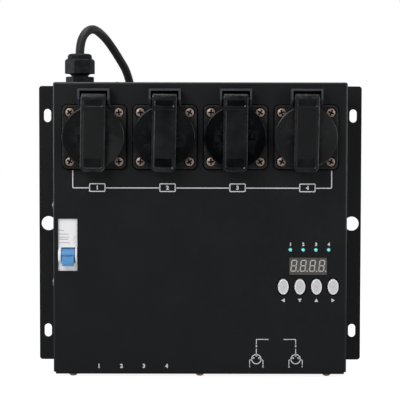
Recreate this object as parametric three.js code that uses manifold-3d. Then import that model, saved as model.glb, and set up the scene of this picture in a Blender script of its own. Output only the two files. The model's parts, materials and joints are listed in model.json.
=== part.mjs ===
// Four-channel dimmer pack in a sheet steel box, with four lidded mains sockets, a circuit breaker,
// a display with four push buttons, a cable gland and mounting ears. It stands on its underside.
// Millimetres, +Z up, front panel facing -Y. The origin is under the middle of the box.
// Every sub-part is built in the panel's frame: x to the right, y into the box from the panel's
// outer face, z up from the panel's centre.
import * as THREE from "three";
import { mergeVertices } from "three/addons/utils/BufferGeometryUtils.js";
import Module from "manifold-3d";

const wasm = await Module();
wasm.setup();

// General clearances
const seat = 0.3;
const overrun = 5;

// Enclosure
const boxWidth = 228;
const boxHeight = 227;
const boxDepth = 76;
const sheet = 1.2;
const bend = 1.8;
const lapGap = 0.2;
const lipDepth = 14;
const relief = 1.7;
const earReach = 19.2;
const earTopGap = 0.6;
const earFootDrop = 0.5;
const earCorner = 2.5;
const earSlotWidth = 6.5;
const earSlotLength = 11.5;
const earSlotInset = 7;
const earSlotEnd = 24.4;
const earHoleRadius = 6;
const earHoleInset = 7.6;

// Cover screws under the box
const coverScrewInset = 14.8;
const coverScrewSet = 7.5;
const coverScrewHead = 3.1;
const coverScrewProud = 2.4;
const coverScrewShank = 1.5;
const coverScrewLength = 7;
const pressNutRadius = 3.2;
const pressNutHeight = 3;

// Mains sockets, one for each channel
const socketPitch = 54.5;
const socketMargin = 4;
const socketDrop = 42.5;
const flangeGap = 4.1;
const flangeCorner = 4;
const flangeThick = 3;
const collarInset = 3.2;
const collarProud = 2.4;
const housingStep = 0.8;
const housingDepth = 22;
const cupWall = 1.5;
const cupFloor = 9.9;
const contactSpacing = 19;
const contactRadius = 2.6;
const contactDepth = 8;
const socketScrewInset = 6.2;
const socketScrewRadius = 1.9;
const hingeWidth = 24.2;
const hingeWall = 1.9;
const hingeRise = 12.4;
const hingeInset = 1.8;
const hingeProud = 12.2;
const hingeWeb = 1.5;
const pinLift = 4.3;
const pinCover = 2.4;
const pinRadius = 1.2;

// Socket lids
const lidMargin = 1;
const lidGap = 0.6;
const lidThick = 3.4;
const lidChamfer = 0.8;
const hingePlay = 0.6;
const barCrown = 1.4;
const barHang = 1.6;
const barTabThick = 6;
const barCorner = 2.7;
const barPanelInset = 3.1;
const barPanelDrop = 3.2;
const barPanelLift = 6.8;
const barPanelDeep = 0.6;

// Circuit breaker, its window and its bracket
const breakerWidth = 17.4;
const breakerHeight = 80;
const breakerRoom = 13.3;
const breakerPlay = 0.5;
const breakerDrop = 83.5;
const windowInset = 1.2;
const windowHeight = 41.2;
const noseCover = 1.9;
const noseDepth = 9;
const toggleDrop = 8.2;
const toggleWidth = 10.3;
const toggleBarrel = 6.5;
const toggleSet = 3.5;
const toggleReach = 11.5;
const toggleThick = 5;
const toggleTurn = 38;
const togglePin = 1.5;
const bracketSheet = 0.9;
const bracketHeight = 76;
const bracketFront = 5;
const railHeight = 35;
const bracketScrewEnd = 8;
const bracketScrewSet = 10;
const bracketScrewHead = 3.4;
const bracketScrewProud = 1.5;
const bracketScrewShank = 1.5;
const bracketScrewTip = 0.2;

// Control area
const boardClear = 0.8;
const boardWidth = 56;
const boardHeight = 56;
const boardOver = 11.2;
const boardSet = 8;
const boardThick = 1.6;
const boardStud = 2.4;
const boardStudInset = 3.6;
const lampPitch = 9.9;
const lampShift = 0.95;
const lampDrop = 87.2;
const lampRadius = 1.5;
const lampProud = 1;
const displayGap = 5.8;
const displayWidth = 29.6;
const displayHeight = 13.8;
const displaySink = 0.4;
const buttonCount = 4;
const buttonMargin = 2.2;
const buttonSpace = 3.9;
const buttonGap = 2.6;
const buttonHeight = 13;
const buttonProud = 1.8;
const buttonTravel = 0.6;
const buttonFlange = 1;
const buttonFlangeThick = 1;
const buttonStem = 1.8;
const switchWidth = 6;
const switchHeight = 3.2;

// Fuse holders under the box, in the middle of its depth
const fuseInset = 35.45;
const fusePitch = 17.5;
const fuseSpace = 1.35;
const fuseCollar = 1.2;
const fuseWall = 1.5;
const fusePlay = 0.4;
const fuseBodyLength = 34;
const fuseEnd = 4;
const fuseCapSink = 0.5;
const fuseSlot = 1.4;
const fuseSlotDeep = 1.2;
const fuseTag = 4;
const fuseTagThick = 0.8;
const fuseTagLength = 7;

// Control connectors beside the fuse holders
const connectorInset = 39.4;
const connectorSpace = 4.8;
const connectorWidth = 26;
const connectorLength = 31;
const connectorCorner = 2;
const connectorFlange = 2.2;
const connectorRim = 1.2;
const connectorDepth = 22;
const connectorScrewEdge = 3.5;
const connectorScrewHead = 2.7;
const pinCircle = 4.2;
const malePin = 1.2;
const malePinLength = 12;
const maleWall = 2.6;
const maleCupDepth = 15;
const femaleWall = 2.5;
const femaleGroove = 1.7;
const femaleGrooveDepth = 11;
const femalePinHole = 1.5;
const femalePinDepth = 10;
const latchWidth = 8;
const latchThick = 3;
const latchEdge = 3.5;
const latchProud = 1;
const latchTravel = 1.2;

// Cable gland on the top wall
const cordRadius = 3.5;
const glandInset = 17.8;
const glandHalfFlats = 9.9;
const glandFlange = 5.8;
const glandSeal = 1;
const glandCollarStep = 2.55;
const glandNeck = 2.3;
const glandNutHeight = 11.6;
const glandNutStep = 0.75;
const glandDomeStep = 0.25;
const glandDomeHeight = 4.3;
const glandMouthPlay = 0.5;
const glandShankStep = 2.1;
const glandShankLength = 9;
const glandInsertStep = 2.6;
const locknutHeight = 4;

// Earth screw on the top wall
const earthInset = 47;
const earthBack = 28;
const earthHead = 2.8;
const earthProud = 3.5;
const earthShank = 1.6;
const earthLength = 9;

// Power electronics on the back plate
const standoff = 6;
const standoffRadius = 2.8;
const powerWidth = 140;
const powerHeight = 112;
const powerInset = 27;
const powerLift = 42.5;
const powerStudInset = 5;
const transformerWidth = 34;
const transformerHeight = 28;
const transformerDepth = 27;
const transformerInset = 4;
const transformerLift = 7;
const coreBand = 12;
const sinkGap = 11;
const sinkInset = 7;
const sinkLift = 7;
const sinkHeight = 26;
const sinkDepth = 30;
const sinkBase = 4;
const sinkFins = 8;
const sinkFinThick = 1.6;
const triacWidth = 10;
const triacHeight = 15;
const triacThick = 4.4;
const chokeRadius = 12;
const chokeBore = 5;
const chokeHeight = 13;
const chokeGap = 3;
const chokeInset = 13;
const chokeLift = 18;
const blockWidth = 48;
const blockHeight = 16;
const blockDepth = 18;
const blockInset = 9;
const blockLift = 14;
const blockMouth = 3;

// Mains lead: free stretch, coil and plug, in the part's own frame
const coilCentreX = 0;
const coilCentreY = 102.4;
const coilOuter = 46.6;
const coilClear = 0.6;
const coilTurns = 4;
const coilSteps = 24;
const coilSides = 6;
const coilLead = 7;
const coilTail = 21;
const coilLeadSteps = 2;
const coilTailSteps = 3;
const cordSides = 10;
const cordSteps = 30;
const plugBody = 20;
const plugBodyHeight = 22;
const plugFace = 5;
const plugBootLength = 28;
const plugBootStep = 1.3;
const plugBootFlare = 2.2;
const plugPinRadius = 2.4;
const plugPinLength = 19;
const plugPinSpacing = 19;

// Sides of round pieces
const fine = 36;
const round = 20;
const coarse = 10;
const small = 8;
const cornerSteps = 2;
const arcSteps = 5;
const ovalSteps = 8;

// Shares of a rounded crown's radius and height at 30 and 45 degrees up it
const crownWideShare = Math.cos(Math.PI / 6);
const crownHalfShare = Math.sin(Math.PI / 6);
const crownSlantShare = Math.cos(Math.PI / 4);

// The box and the frame its pieces are placed in
const left = -boxWidth / 2;
const right = boxWidth / 2;
const foot = -boxHeight / 2;
const top = boxHeight / 2;
const midDepth = boxDepth / 2;
const backY = boxDepth - sheet;
const barProud = hingeProud + barCrown;
const overallWidth = boxWidth + 2 * earReach;
const overallDepth = boxDepth + barProud;
const panelY = barProud - overallDepth / 2;
const middleZ = top + coverScrewProud;
const chassisWidth = boxWidth - 2 * (sheet + lapGap);
const chassisHeight = boxHeight - 2 * (sheet + lapGap);
const chassisFront = sheet + lapGap;
const wallZ = chassisHeight / 2;
const underFoot = top + coverScrewProud - wallZ;
const earHeight = boxHeight - earTopGap + earFootDrop;
const earMiddle = -(earTopGap + earFootDrop) / 2;
const earSlotSpacing = earHeight - 2 * earSlotEnd;
const coverScrewSide = right - coverScrewInset;

// Sockets and lids
const channelCount = Math.floor((boxWidth - 2 * socketMargin) / socketPitch);
const socketZ = top - socketDrop;
const flangeWidth = socketPitch - flangeGap;
const flangeEdge = flangeWidth / 2;
const collarRadius = flangeEdge - collarInset;
const housingRadius = collarRadius - housingStep;
const cupRadius = housingRadius - cupWall;
const cupDepth = housingDepth + flangeThick + collarProud - cupFloor;
const socketScrewSpacing = flangeWidth - 2 * socketScrewInset;
const hingeTop = flangeEdge + hingeRise;
const hingeFoot = flangeEdge - hingeInset;
const pinRise = flangeEdge + pinLift;
const pinProud = hingeProud - pinCover;
const lidPinY = -pinProud;
const lidRadius = flangeEdge - lidMargin;
const lidLift = flangeThick + collarProud + lidGap;
const barWidth = hingeWidth - 2 * (hingeWall + hingePlay);
const barFoot = flangeEdge + barHang;
const barPanelWidth = barWidth - 2 * barPanelInset;
const barPanelTop = flangeEdge - barPanelDrop;
const barPanelFoot = barFoot - barPanelLift;

// Breaker
const noseFront = sheet + seat;
const breakerX = left + sheet + bracketSheet + breakerPlay + breakerWidth / 2;
const breakerZ = socketZ - breakerDrop;
const breakerDepth = backY - noseFront - breakerRoom;
const windowWidth = breakerWidth - 2 * windowInset;
const noseHeight = windowHeight + 2 * noseCover;
const toggleY = noseFront + toggleSet - sheet;
const togglePivotZ = breakerZ - toggleDrop;
const bracketScrewSpacing = bracketHeight - 2 * bracketScrewEnd;
const bracketScrewLength = sheet + bracketSheet + bracketScrewTip;

// Control area
const boardX = right - sheet - boardClear - boardWidth / 2;
const lampX = boardX + lampShift;
const lampZ = socketZ - lampDrop;
const boardZ = lampZ + boardOver - boardHeight / 2;
const displayZ = lampZ - displayGap - displayHeight / 2;
const buttonZ = displayZ - displayHeight / 2 - buttonGap - buttonHeight / 2;
const buttonPitch = (boardWidth - 2 * buttonMargin) / buttonCount;
const buttonWidth = buttonPitch - buttonSpace;

// Underside
const fuseX = left + fuseInset + ((channelCount - 1) / 2) * fusePitch;
const fuseBezel = fusePitch / 2 - fuseSpace;
const fuseBody = fuseBezel - fuseCollar;
const fuseBore = fuseBody - fuseWall;
const fuseCapRadius = fuseBore - fusePlay;
const fuseLength = fuseBodyLength - fuseEnd;
const connectorPitch = connectorWidth + connectorSpace;
const connectorShell = connectorWidth / 2 - connectorRim;
const connectorScrewX = connectorWidth / 2 - connectorScrewEdge;
const connectorScrewY = connectorLength / 2 - connectorScrewEdge;
const maleCup = connectorShell - maleWall;
const femaleInsert = connectorShell - femaleWall - femaleGroove;
const latchSet = connectorLength / 2 - latchEdge;

// Gland and earth screw
const glandX = left + glandInset;
const glandBore = cordRadius + seat;
const glandMouth = cordRadius + glandMouthPlay;
const glandCollar = glandHalfFlats - glandCollarStep;
const glandDome = glandHalfFlats - glandDomeStep;
const glandShank = glandHalfFlats - glandShankStep;
const glandInsert = glandNutHeight - glandInsertStep;
const earthX = left + earthInset;
const earthSet = boxDepth - earthBack;

// Power electronics
const powerBack = backY - standoff;
const powerFront = powerBack - boardThick;
const powerLeft = left + powerInset;
const powerRight = powerLeft + powerWidth;
const powerFoot = foot + powerLift;
const powerX = (powerLeft + powerRight) / 2;
const powerZ = powerFoot + powerHeight / 2;
const transformerX = powerLeft + transformerInset + transformerWidth / 2;
const transformerZ = powerFoot + transformerLift + transformerHeight / 2;
const sinkLeft = transformerX + transformerWidth / 2 + sinkGap;
const sinkWidth = powerRight - sinkInset - sinkLeft;
const sinkX = sinkLeft + sinkWidth / 2;
const sinkZ = powerFoot + sinkLift + sinkHeight - sinkBase;
const chokePitch = 2 * chokeRadius + chokeGap;
const chokeX = powerRight - chokeInset - ((channelCount - 1) / 2) * chokePitch;
const chokeZ = sinkZ + sinkBase + chokeLift + chokeRadius;
const blockX = powerLeft + blockInset + blockWidth / 2;
const blockZ = chokeZ + chokeRadius + blockLift + blockHeight / 2;

// Mains lead
const coilPitch = 2 * cordRadius + coilClear;
const plugBootEnd = cordRadius + plugBootStep;
const plugBootRoot = plugBootEnd + plugBootFlare;

// Places of the pieces in a row about its centre.
function spread(centre, pitch, count = channelCount) {
  return Array.from({ length: count }, (_, i) => centre + (i - (count - 1) / 2) * pitch);
}

// Solids from three.js geometry
function solid(geometry) {
  const bare = geometry.index ? geometry.toNonIndexed() : geometry.clone();
  bare.deleteAttribute("normal");
  bare.deleteAttribute("uv");
  const merged = mergeVertices(bare, 1e-4);
  const corners = merged.index.array;
  const kept = [];
  for (let i = 0; i < corners.length; i += 3) {
    const [a, b, c] = corners.slice(i, i + 3);
    if (a !== b && b !== c && c !== a) kept.push(a, b, c);
  }
  const vertProperties = new Float32Array(merged.attributes.position.array);
  return new wasm.Manifold(new wasm.Mesh({ numProp: 3, vertProperties, triVerts: new Uint32Array(kept) }));
}

function geometryOf(piece) {
  const mesh = piece.getMesh();
  const geometry = new THREE.BufferGeometry();
  geometry.setAttribute("position", new THREE.BufferAttribute(mesh.vertProperties, 3));
  geometry.setIndex(new THREE.BufferAttribute(mesh.triVerts, 1));
  geometry.computeVertexNormals();
  return geometry;
}

const join = (first, ...others) => others.reduce((whole, piece) => whole.add(piece), first);
const cut = (first, ...others) => others.reduce((whole, piece) => whole.subtract(piece), first);

// A block between two limits on each axis.
function block([x0, x1], [y0, y1], [z0, z1]) {
  const box = new THREE.BoxGeometry(x1 - x0, y1 - y0, z1 - z0);
  return solid(box.translate((x0 + x1) / 2, (y0 + y1) / 2, (z0 + z1) / 2));
}

const about = (centre, size) => [centre - size / 2, centre + size / 2];

// Round bars along each axis, between two limits.
function barY(radius, [y0, y1], x, z, sides = round) {
  const bar = new THREE.CylinderGeometry(radius, radius, y1 - y0, sides);
  return solid(bar.translate(x, (y0 + y1) / 2, z));
}

function barX(radius, [x0, x1], y, z, sides = coarse) {
  const bar = new THREE.CylinderGeometry(radius, radius, x1 - x0, sides).rotateZ(-Math.PI / 2);
  return solid(bar.translate((x0 + x1) / 2, y, z));
}

function barZ(radius, [z0, z1], x, y, sides = round) {
  const bar = new THREE.CylinderGeometry(radius, radius, z1 - z0, sides).rotateX(Math.PI / 2);
  return solid(bar.translate(x, y, (z0 + z1) / 2));
}

// A profile of [radius, height] pairs, from low to high, turned about an axis along z.
function turned(profile, sides = round) {
  const points = profile.map(([radius, height]) => new THREE.Vector2(radius, height));
  return solid(new THREE.LatheGeometry(points, sides).rotateX(Math.PI / 2));
}

// An outline in x and z, carried along y.
function plateY(shape, [y0, y1], curveSegments = cornerSteps) {
  const plate = new THREE.ExtrudeGeometry(shape, { depth: y1 - y0, bevelEnabled: false, curveSegments });
  return solid(plate.rotateX(Math.PI / 2).translate(0, y1, 0));
}

// An outline in x and y, carried along z.
function plateZ(shape, [z0, z1], curveSegments = cornerSteps) {
  const plate = new THREE.ExtrudeGeometry(shape, { depth: z1 - z0, bevelEnabled: false, curveSegments });
  return solid(plate.translate(0, 0, z0));
}

// An outline in y and z, carried along x.
function plateX(shape, [x0, x1], curveSegments = cornerSteps) {
  const plate = new THREE.ExtrudeGeometry(shape, { depth: x1 - x0, bevelEnabled: false, curveSegments });
  const turn = new THREE.Matrix4().makeBasis(
    new THREE.Vector3(0, 1, 0),
    new THREE.Vector3(0, 0, 1),
    new THREE.Vector3(1, 0, 0),
  );
  return solid(plate.applyMatrix4(turn).translate(x0, 0, 0));
}

function roundedRectangle(width, height, radius, u = 0, v = 0) {
  const shape = new THREE.Shape();
  const [u0, u1] = about(u, width);
  const [v0, v1] = about(v, height);
  shape.moveTo(u0 + radius, v0);
  shape.lineTo(u1 - radius, v0);
  shape.absarc(u1 - radius, v0 + radius, radius, -Math.PI / 2, 0);
  shape.lineTo(u1, v1 - radius);
  shape.absarc(u1 - radius, v1 - radius, radius, 0, Math.PI / 2);
  shape.lineTo(u0 + radius, v1);
  shape.absarc(u0 + radius, v1 - radius, radius, Math.PI / 2, Math.PI);
  shape.lineTo(u0, v0 + radius);
  shape.absarc(u0 + radius, v0 + radius, radius, Math.PI, 1.5 * Math.PI);
  return shape;
}

function oval(width, height, u = 0, v = 0) {
  const shape = new THREE.Shape();
  shape.absellipse(u, v, width / 2, height / 2, 0, 2 * Math.PI);
  return shape;
}

function hexagon(halfFlats, turn = 0) {
  const shape = new THREE.Shape();
  const corner = halfFlats / Math.cos(Math.PI / 6);
  for (let i = 0; i < 6; i += 1) {
    const angle = turn + (i * Math.PI) / 3;
    const at = [corner * Math.cos(angle), corner * Math.sin(angle)];
    if (i === 0) shape.moveTo(...at);
    else shape.lineTo(...at);
  }
  shape.closePath();
  return shape;
}

// Finishes
function finish(color, roughness, metalness = 0) {
  return new THREE.MeshStandardMaterial({ color, roughness, metalness });
}

const blackPowderCoat = finish(0x212224, 0.55, 0.1);
const blackPlastic = finish(0x17181a, 0.4);
const glossBlack = finish(0x101112, 0.25);
const steel = finish(0xb9bcc0, 0.35, 1);
const bronzeSteel = finish(0x967d6e, 0.4, 1);
const whitePlastic = finish(0xe4e4e6, 0.45);
const bluePlastic = finish(0x4a8ace, 0.4);
const silverPlastic = finish(0xcdc8cc, 0.35, 0.3);
const lampTeal = finish(0x64d7c8, 0.3);
const displayGrey = finish(0x6e6c69, 0.4);
const boardGreen = finish(0x1f5a3a, 0.5);
const copperWinding = finish(0xa8622f, 0.45, 0.6);
const coreSteel = finish(0x5a5c60, 0.5, 0.8);
const aluminium = finish(0xc4c7ca, 0.4, 1);
const nickel = finish(0xaeb0b2, 0.3, 1);
const cordBlack = finish(0x1c1d1f, 0.6);

const pack = new THREE.Group();
const panel = new THREE.Group();
panel.position.set(0, panelY, middleZ);
pack.add(panel);

function place(name, piece, material, x = 0, y = 0, z = 0, parent = panel) {
  const mesh = new THREE.Mesh(geometryOf(piece), material);
  mesh.name = name;
  mesh.position.set(x, y, z);
  parent.add(mesh);
}

const socketPlaces = spread(0, socketPitch);
const fusePlaces = spread(fuseX, fusePitch);
const lampPlaces = spread(lampX, lampPitch);
const buttonPlaces = spread(boardX, buttonPitch, buttonCount);
const chokePlaces = spread(chokeX, chokePitch);
const coverScrewPlaces = [-coverScrewSide, 0, coverScrewSide];
const bracketScrewPlaces = about(breakerZ, bracketScrewSpacing);
const connectorPlaces = { in: right - connectorInset, out: right - connectorInset - connectorPitch };
const boardStudPlaces = about(boardX, boardWidth - 2 * boardStudInset).flatMap((x) =>
  about(boardZ, boardHeight - 2 * boardStudInset).map((z) => [x, z]),
);
const powerStudPlaces = about(powerX, powerWidth - 2 * powerStudInset).flatMap((x) =>
  about(powerZ, powerHeight - 2 * powerStudInset).map((z) => [x, z]),
);

// The cover: a folded panel with full-depth side walls and narrow lips above and below.
function frontCover() {
  const depth = backY - seat;
  const outside = plateZ(roundedRectangle(boxWidth, 2 * depth, bend, 0, depth), about(0, boxHeight))
    .intersect(plateX(roundedRectangle(2 * depth, boxHeight, bend, depth), about(0, boxWidth)))
    .intersect(plateY(roundedRectangle(boxWidth, boxHeight, bend), [0, depth]));
  const inside = block(about(0, boxWidth - 2 * sheet), [sheet, boxDepth], about(0, boxHeight - 2 * sheet));
  const behindLips = block(about(0, boxWidth - 2 * sheet), [lipDepth, boxDepth], about(0, boxHeight + overrun));
  const reliefs = [left, right].map((side) =>
    block(about(side, 2 * relief), [-overrun, boxDepth], about(foot, 2 * relief)),
  );
  let cover = cut(outside, inside, behindLips, ...reliefs);
  const studs = boardStudPlaces.map(([x, z]) => barY(boardStud, [sheet / 2, boardSet], x, z, coarse));
  cover = join(cover, ...studs);
  const through = [-overrun, sheet + seat];
  const openings = socketPlaces.map((x) => barY(housingRadius + seat, through, x, socketZ, round));
  for (const x of socketPlaces) {
    for (const sx of about(x, socketScrewSpacing)) {
      for (const sz of about(socketZ, socketScrewSpacing)) {
        openings.push(barY(socketScrewRadius, through, sx, sz, small));
      }
    }
  }
  openings.push(block(about(breakerX, windowWidth), through, about(breakerZ, windowHeight)));
  openings.push(
    block(about(boardX, displayWidth + 2 * seat), through, about(displayZ, displayHeight + 2 * seat)),
  );
  for (const x of lampPlaces) openings.push(barY(lampRadius + seat, through, x, lampZ, coarse));
  const buttonHole = (x) => oval(buttonWidth + 2 * seat, buttonHeight + 2 * seat, x, buttonZ);
  for (const x of buttonPlaces) openings.push(plateY(buttonHole(x), through, ovalSteps));
  for (const x of coverScrewPlaces) {
    openings.push(barZ(coverScrewShank + seat, about(foot, 2 * overrun), x, coverScrewSet, coarse));
  }
  for (const z of bracketScrewPlaces) {
    openings.push(barX(bracketScrewShank + seat, about(left, 2 * overrun), bracketScrewSet, z));
  }
  return cut(cover, ...openings);
}

// The chassis: the back plate with its ears, and the top and bottom walls folded forward from it.
function baseChassis() {
  const plate = plateY(
    roundedRectangle(overallWidth, earHeight, earCorner, 0, earMiddle),
    [backY, boxDepth],
  );
  const walls = [-1, 1].map((side) =>
    block(
      about(0, chassisWidth),
      [chassisFront, backY + sheet / 2],
      about(side * (wallZ - sheet / 2), sheet),
    ),
  );
  const nuts = coverScrewPlaces.map((x) =>
    barZ(pressNutRadius, [sheet / 2 - wallZ, sheet + pressNutHeight - wallZ], x, coverScrewSet, coarse),
  );
  const studs = powerStudPlaces.map(([x, z]) =>
    barY(standoffRadius, [powerBack, backY + sheet / 2], x, z, coarse),
  );
  const openings = [];
  const through = [backY - overrun, boxDepth + overrun];
  const earEdge = overallWidth / 2;
  for (const side of [-1, 1]) {
    for (const z of about(earMiddle, earSlotSpacing)) {
      const x = side * (earEdge - earSlotInset);
      const slot = roundedRectangle(earSlotWidth, earSlotLength, earSlotWidth / 2, x, z);
      openings.push(plateY(slot, through));
    }
    openings.push(barY(earHoleRadius, through, side * (earEdge - earHoleInset), earMiddle, round));
  }
  for (const x of coverScrewPlaces) {
    openings.push(barZ(coverScrewShank + seat, about(-wallZ, 3 * overrun), x, coverScrewSet, coarse));
  }
  for (const x of fusePlaces) {
    openings.push(barZ(fuseBody + seat, about(-wallZ, 2 * overrun), x, midDepth, round));
  }
  for (const x of Object.values(connectorPlaces)) {
    openings.push(barZ(connectorShell + seat, about(-wallZ, 2 * overrun), x, midDepth, round));
  }
  openings.push(barZ(glandShank + seat, about(wallZ, 2 * overrun), glandX, midDepth, round));
  openings.push(barZ(earthShank + seat, about(wallZ, 2 * overrun), earthX, earthSet, coarse));
  return cut(join(plate, ...walls, ...nuts, ...studs), ...openings);
}

// One socket: flange, collar and housing with the plug cup, and the hinge frame above.
function socketBody() {
  const proud = flangeThick + collarProud;
  const flange = plateY(roundedRectangle(flangeWidth, flangeWidth, flangeCorner), [-flangeThick, 0]);
  const housing = barY(housingRadius, [-flangeThick / 2, housingDepth], 0, 0, round);
  const collar = barY(collarRadius, [-proud, -flangeThick / 2], 0, 0, round);
  const frame = block(about(0, hingeWidth), [-hingeProud, 0], [hingeFoot, hingeTop]);
  const pocket = block(
    about(0, hingeWidth - 2 * hingeWall),
    [-hingeProud - overrun, -hingeWeb],
    [hingeFoot - overrun, hingeTop - hingeWall],
  );
  const floor = cupDepth - proud;
  const bores = [
    barY(cupRadius, [-proud - overrun, floor], 0, 0, round),
    barX(pinRadius + seat, about(0, 2 * hingeWidth), lidPinY, pinRise),
  ];
  for (const x of about(0, contactSpacing)) {
    bores.push(barY(contactRadius, [floor - overrun, floor + contactDepth], x, 0, coarse));
  }
  for (const x of about(0, socketScrewSpacing)) {
    for (const z of about(0, socketScrewSpacing)) {
      bores.push(barY(socketScrewRadius, [-flangeThick - overrun, overrun], x, z, small));
    }
  }
  const hood = cut(frame, pocket);
  const web = block(about(0, hingeWidth), [-flangeThick, 0], [hingeFoot - hingeWall, hingeFoot + hingeWall]);
  return cut(join(flange, housing, collar, web, hood), ...bores);
}

// One lid: a chamfered disc with a raised bar that turns on the pin and overhangs as a finger tab.
function socketLid() {
  const back = -lidLift;
  const front = back - lidThick;
  const disc = turned(
    [
      [0, 0],
      [lidRadius, 0],
      [lidRadius, lidThick - lidChamfer],
      [lidRadius - lidChamfer, lidThick],
      [0, lidThick],
    ],
    fine,
  );
  const lying = disc.rotate([90, 0, 0]).translate([0, back, 0]);
  const knuckle = barProud - pinProud;
  const shape = new THREE.Shape();
  shape.moveTo(lidPinY - knuckle, -barFoot);
  shape.lineTo(barTabThick - barProud, -barFoot);
  shape.lineTo(barTabThick - barProud, -lidRadius / 2);
  shape.lineTo(front + lidThick / 2, -lidRadius / 2);
  shape.lineTo(front + lidThick / 2, lidRadius - hingeWall);
  shape.lineTo(lidPinY + knuckle, lidRadius - hingeWall);
  shape.lineTo(lidPinY + knuckle, pinRise);
  shape.absarc(lidPinY, pinRise, knuckle, 0, Math.PI);
  shape.closePath();
  const bar = plateX(shape, about(0, barWidth), arcSteps);
  const height = pinRise + knuckle + barFoot;
  const middle = (pinRise + knuckle - barFoot) / 2;
  const outline = roundedRectangle(barWidth, height + barCorner, barCorner, 0, middle + barCorner / 2);
  const rounded = bar.intersect(plateY(outline, [-barProud - overrun, overrun]));
  const recess = block(
    about(0, barPanelWidth),
    [-barProud - overrun, barPanelDeep - barProud],
    [-barPanelFoot, barPanelTop],
  );
  const bore = barX(pinRadius + seat, about(0, 2 * barWidth), lidPinY, pinRise);
  return cut(join(lying, rounded), recess, bore);
}

// The breaker: a deep body with a narrower nose behind the window, and a toggle in its slot.
const barrelGap = toggleBarrel + 2 * seat;

function breakerBody() {
  const shoulder = noseFront + noseDepth;
  const body = join(
    block(about(0, breakerWidth), [noseFront, shoulder + seat], about(0, noseHeight)),
    block(about(0, breakerWidth), [shoulder, noseFront + breakerDepth], about(0, breakerHeight)),
  );
  const slot = barX(barrelGap, about(0, toggleWidth + 2 * seat), toggleY, -toggleDrop, round);
  const pin = barX(togglePin, about(0, toggleWidth + 2 * hingeWall), toggleY, -toggleDrop);
  return join(cut(body, slot), pin);
}

function breakerToggle() {
  const shape = new THREE.Shape();
  const turn = (toggleTurn * Math.PI) / 180;
  shape.absarc(0, 0, toggleBarrel, 0, 2 * Math.PI);
  const barrel = plateX(shape, about(0, toggleWidth), ovalSteps);
  const lever = block(about(0, toggleWidth), [-toggleReach, 0], about(0, toggleThick));
  const bore = barX(togglePin + seat, about(0, 2 * toggleWidth), 0, 0);
  return cut(join(barrel, lever.rotate([(turn * 180) / Math.PI, 0, 0])), bore);
}

function breakerBracket() {
  const wall = left + sheet;
  const back = noseFront + breakerDepth + seat;
  const plate = block([wall, wall + bracketSheet], [bracketFront, back + bracketSheet], about(0, bracketHeight));
  const railEnd = breakerX + breakerWidth / 2;
  const rail = block([wall, railEnd], [back, back + bracketSheet], about(0, railHeight));
  const hooks = [-1, 1].map((side) =>
    block(
      [wall, railEnd],
      [back, (back + backY) / 2],
      about((side * (railHeight - bracketSheet)) / 2, bracketSheet),
    ),
  );
  const holes = bracketScrewPlaces.map((z) =>
    barX(bracketScrewShank + seat, about(wall, 2 * overrun), bracketScrewSet, z - breakerZ),
  );
  return cut(join(plate, rail, ...hooks), ...holes);
}

// A screw with a low domed head that stands on z = 0 and a shank below it.
function domedScrew(head, proud, shank, length) {
  return turned(
    [
      [0, -length],
      [shank, -length],
      [shank, 0],
      [head, 0],
      [head, proud / 2],
      [head * crownWideShare, proud * crownWideShare],
      [head * crownHalfShare, proud],
      [0, proud],
    ],
    coarse,
  );
}

// Control area behind the panel
function controlBoard() {
  const board = block(about(boardX, boardWidth), [boardSet, boardSet + boardThick], about(boardZ, boardHeight));
  const switches = buttonPlaces.map((x) =>
    block(about(x, switchWidth), [boardSet - switchHeight, boardSet + boardThick / 2], about(buttonZ, switchWidth)),
  );
  return join(board, ...switches);
}

function pushButton() {
  const capLength = sheet + seat + buttonFlangeThick;
  const cap = plateY(oval(buttonWidth, buttonHeight), [-buttonProud / 2, capLength], ovalSteps);
  const crown = plateY(
    oval(buttonWidth - buttonProud, buttonHeight - buttonProud),
    [-buttonProud, 0],
    ovalSteps,
  );
  const flange = plateY(
    oval(buttonWidth + 2 * seat + 2 * buttonFlange, buttonHeight + 2 * seat + 2 * buttonFlange),
    [sheet + seat, capLength],
    ovalSteps,
  );
  const stemEnd = boardSet - switchHeight - buttonTravel - seat;
  return join(cap, crown, flange, barY(buttonStem, [0, stemEnd], 0, 0, small));
}

function channelLamp() {
  const length = boardSet - seat + lampProud;
  const lens = turned(
    [
      [0, 0],
      [lampRadius, 0],
      [lampRadius, length - lampRadius],
      [lampRadius * crownSlantShare, length - lampRadius + lampRadius * crownSlantShare],
      [0, length],
    ],
    small,
  );
  return lens.rotate([90, 0, 0]).translate([0, boardSet - seat, 0]);
}

// Underside pieces, built about the wall's outer face with -z pointing out of the box.
function fuseHolder() {
  const bezelEdge = fuseBezel - seat;
  const holder = turned([
    [0, -underFoot],
    [bezelEdge, -underFoot],
    [fuseBezel, -underFoot / 2],
    [fuseBezel, 0],
    [fuseBody, 0],
    [fuseBody, fuseBodyLength],
    [0, fuseBodyLength],
  ]);
  const bore = barZ(fuseBore, [-underFoot - overrun, fuseLength + seat], 0, 0, round);
  const tag = block(
    about(0, fuseTag),
    about(0, fuseTagThick),
    [fuseBodyLength - seat, fuseBodyLength + fuseTagLength],
  );
  return join(cut(holder, bore), tag);
}

function fuseCarrier() {
  const face = fuseCapSink - underFoot;
  const cap = barZ(fuseCapRadius, [face, fuseLength], 0, 0, round);
  const slot = block(about(0, 2 * fuseCapRadius), about(0, fuseSlot), [face - overrun, face + fuseSlotDeep]);
  return cut(cap, slot);
}

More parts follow.
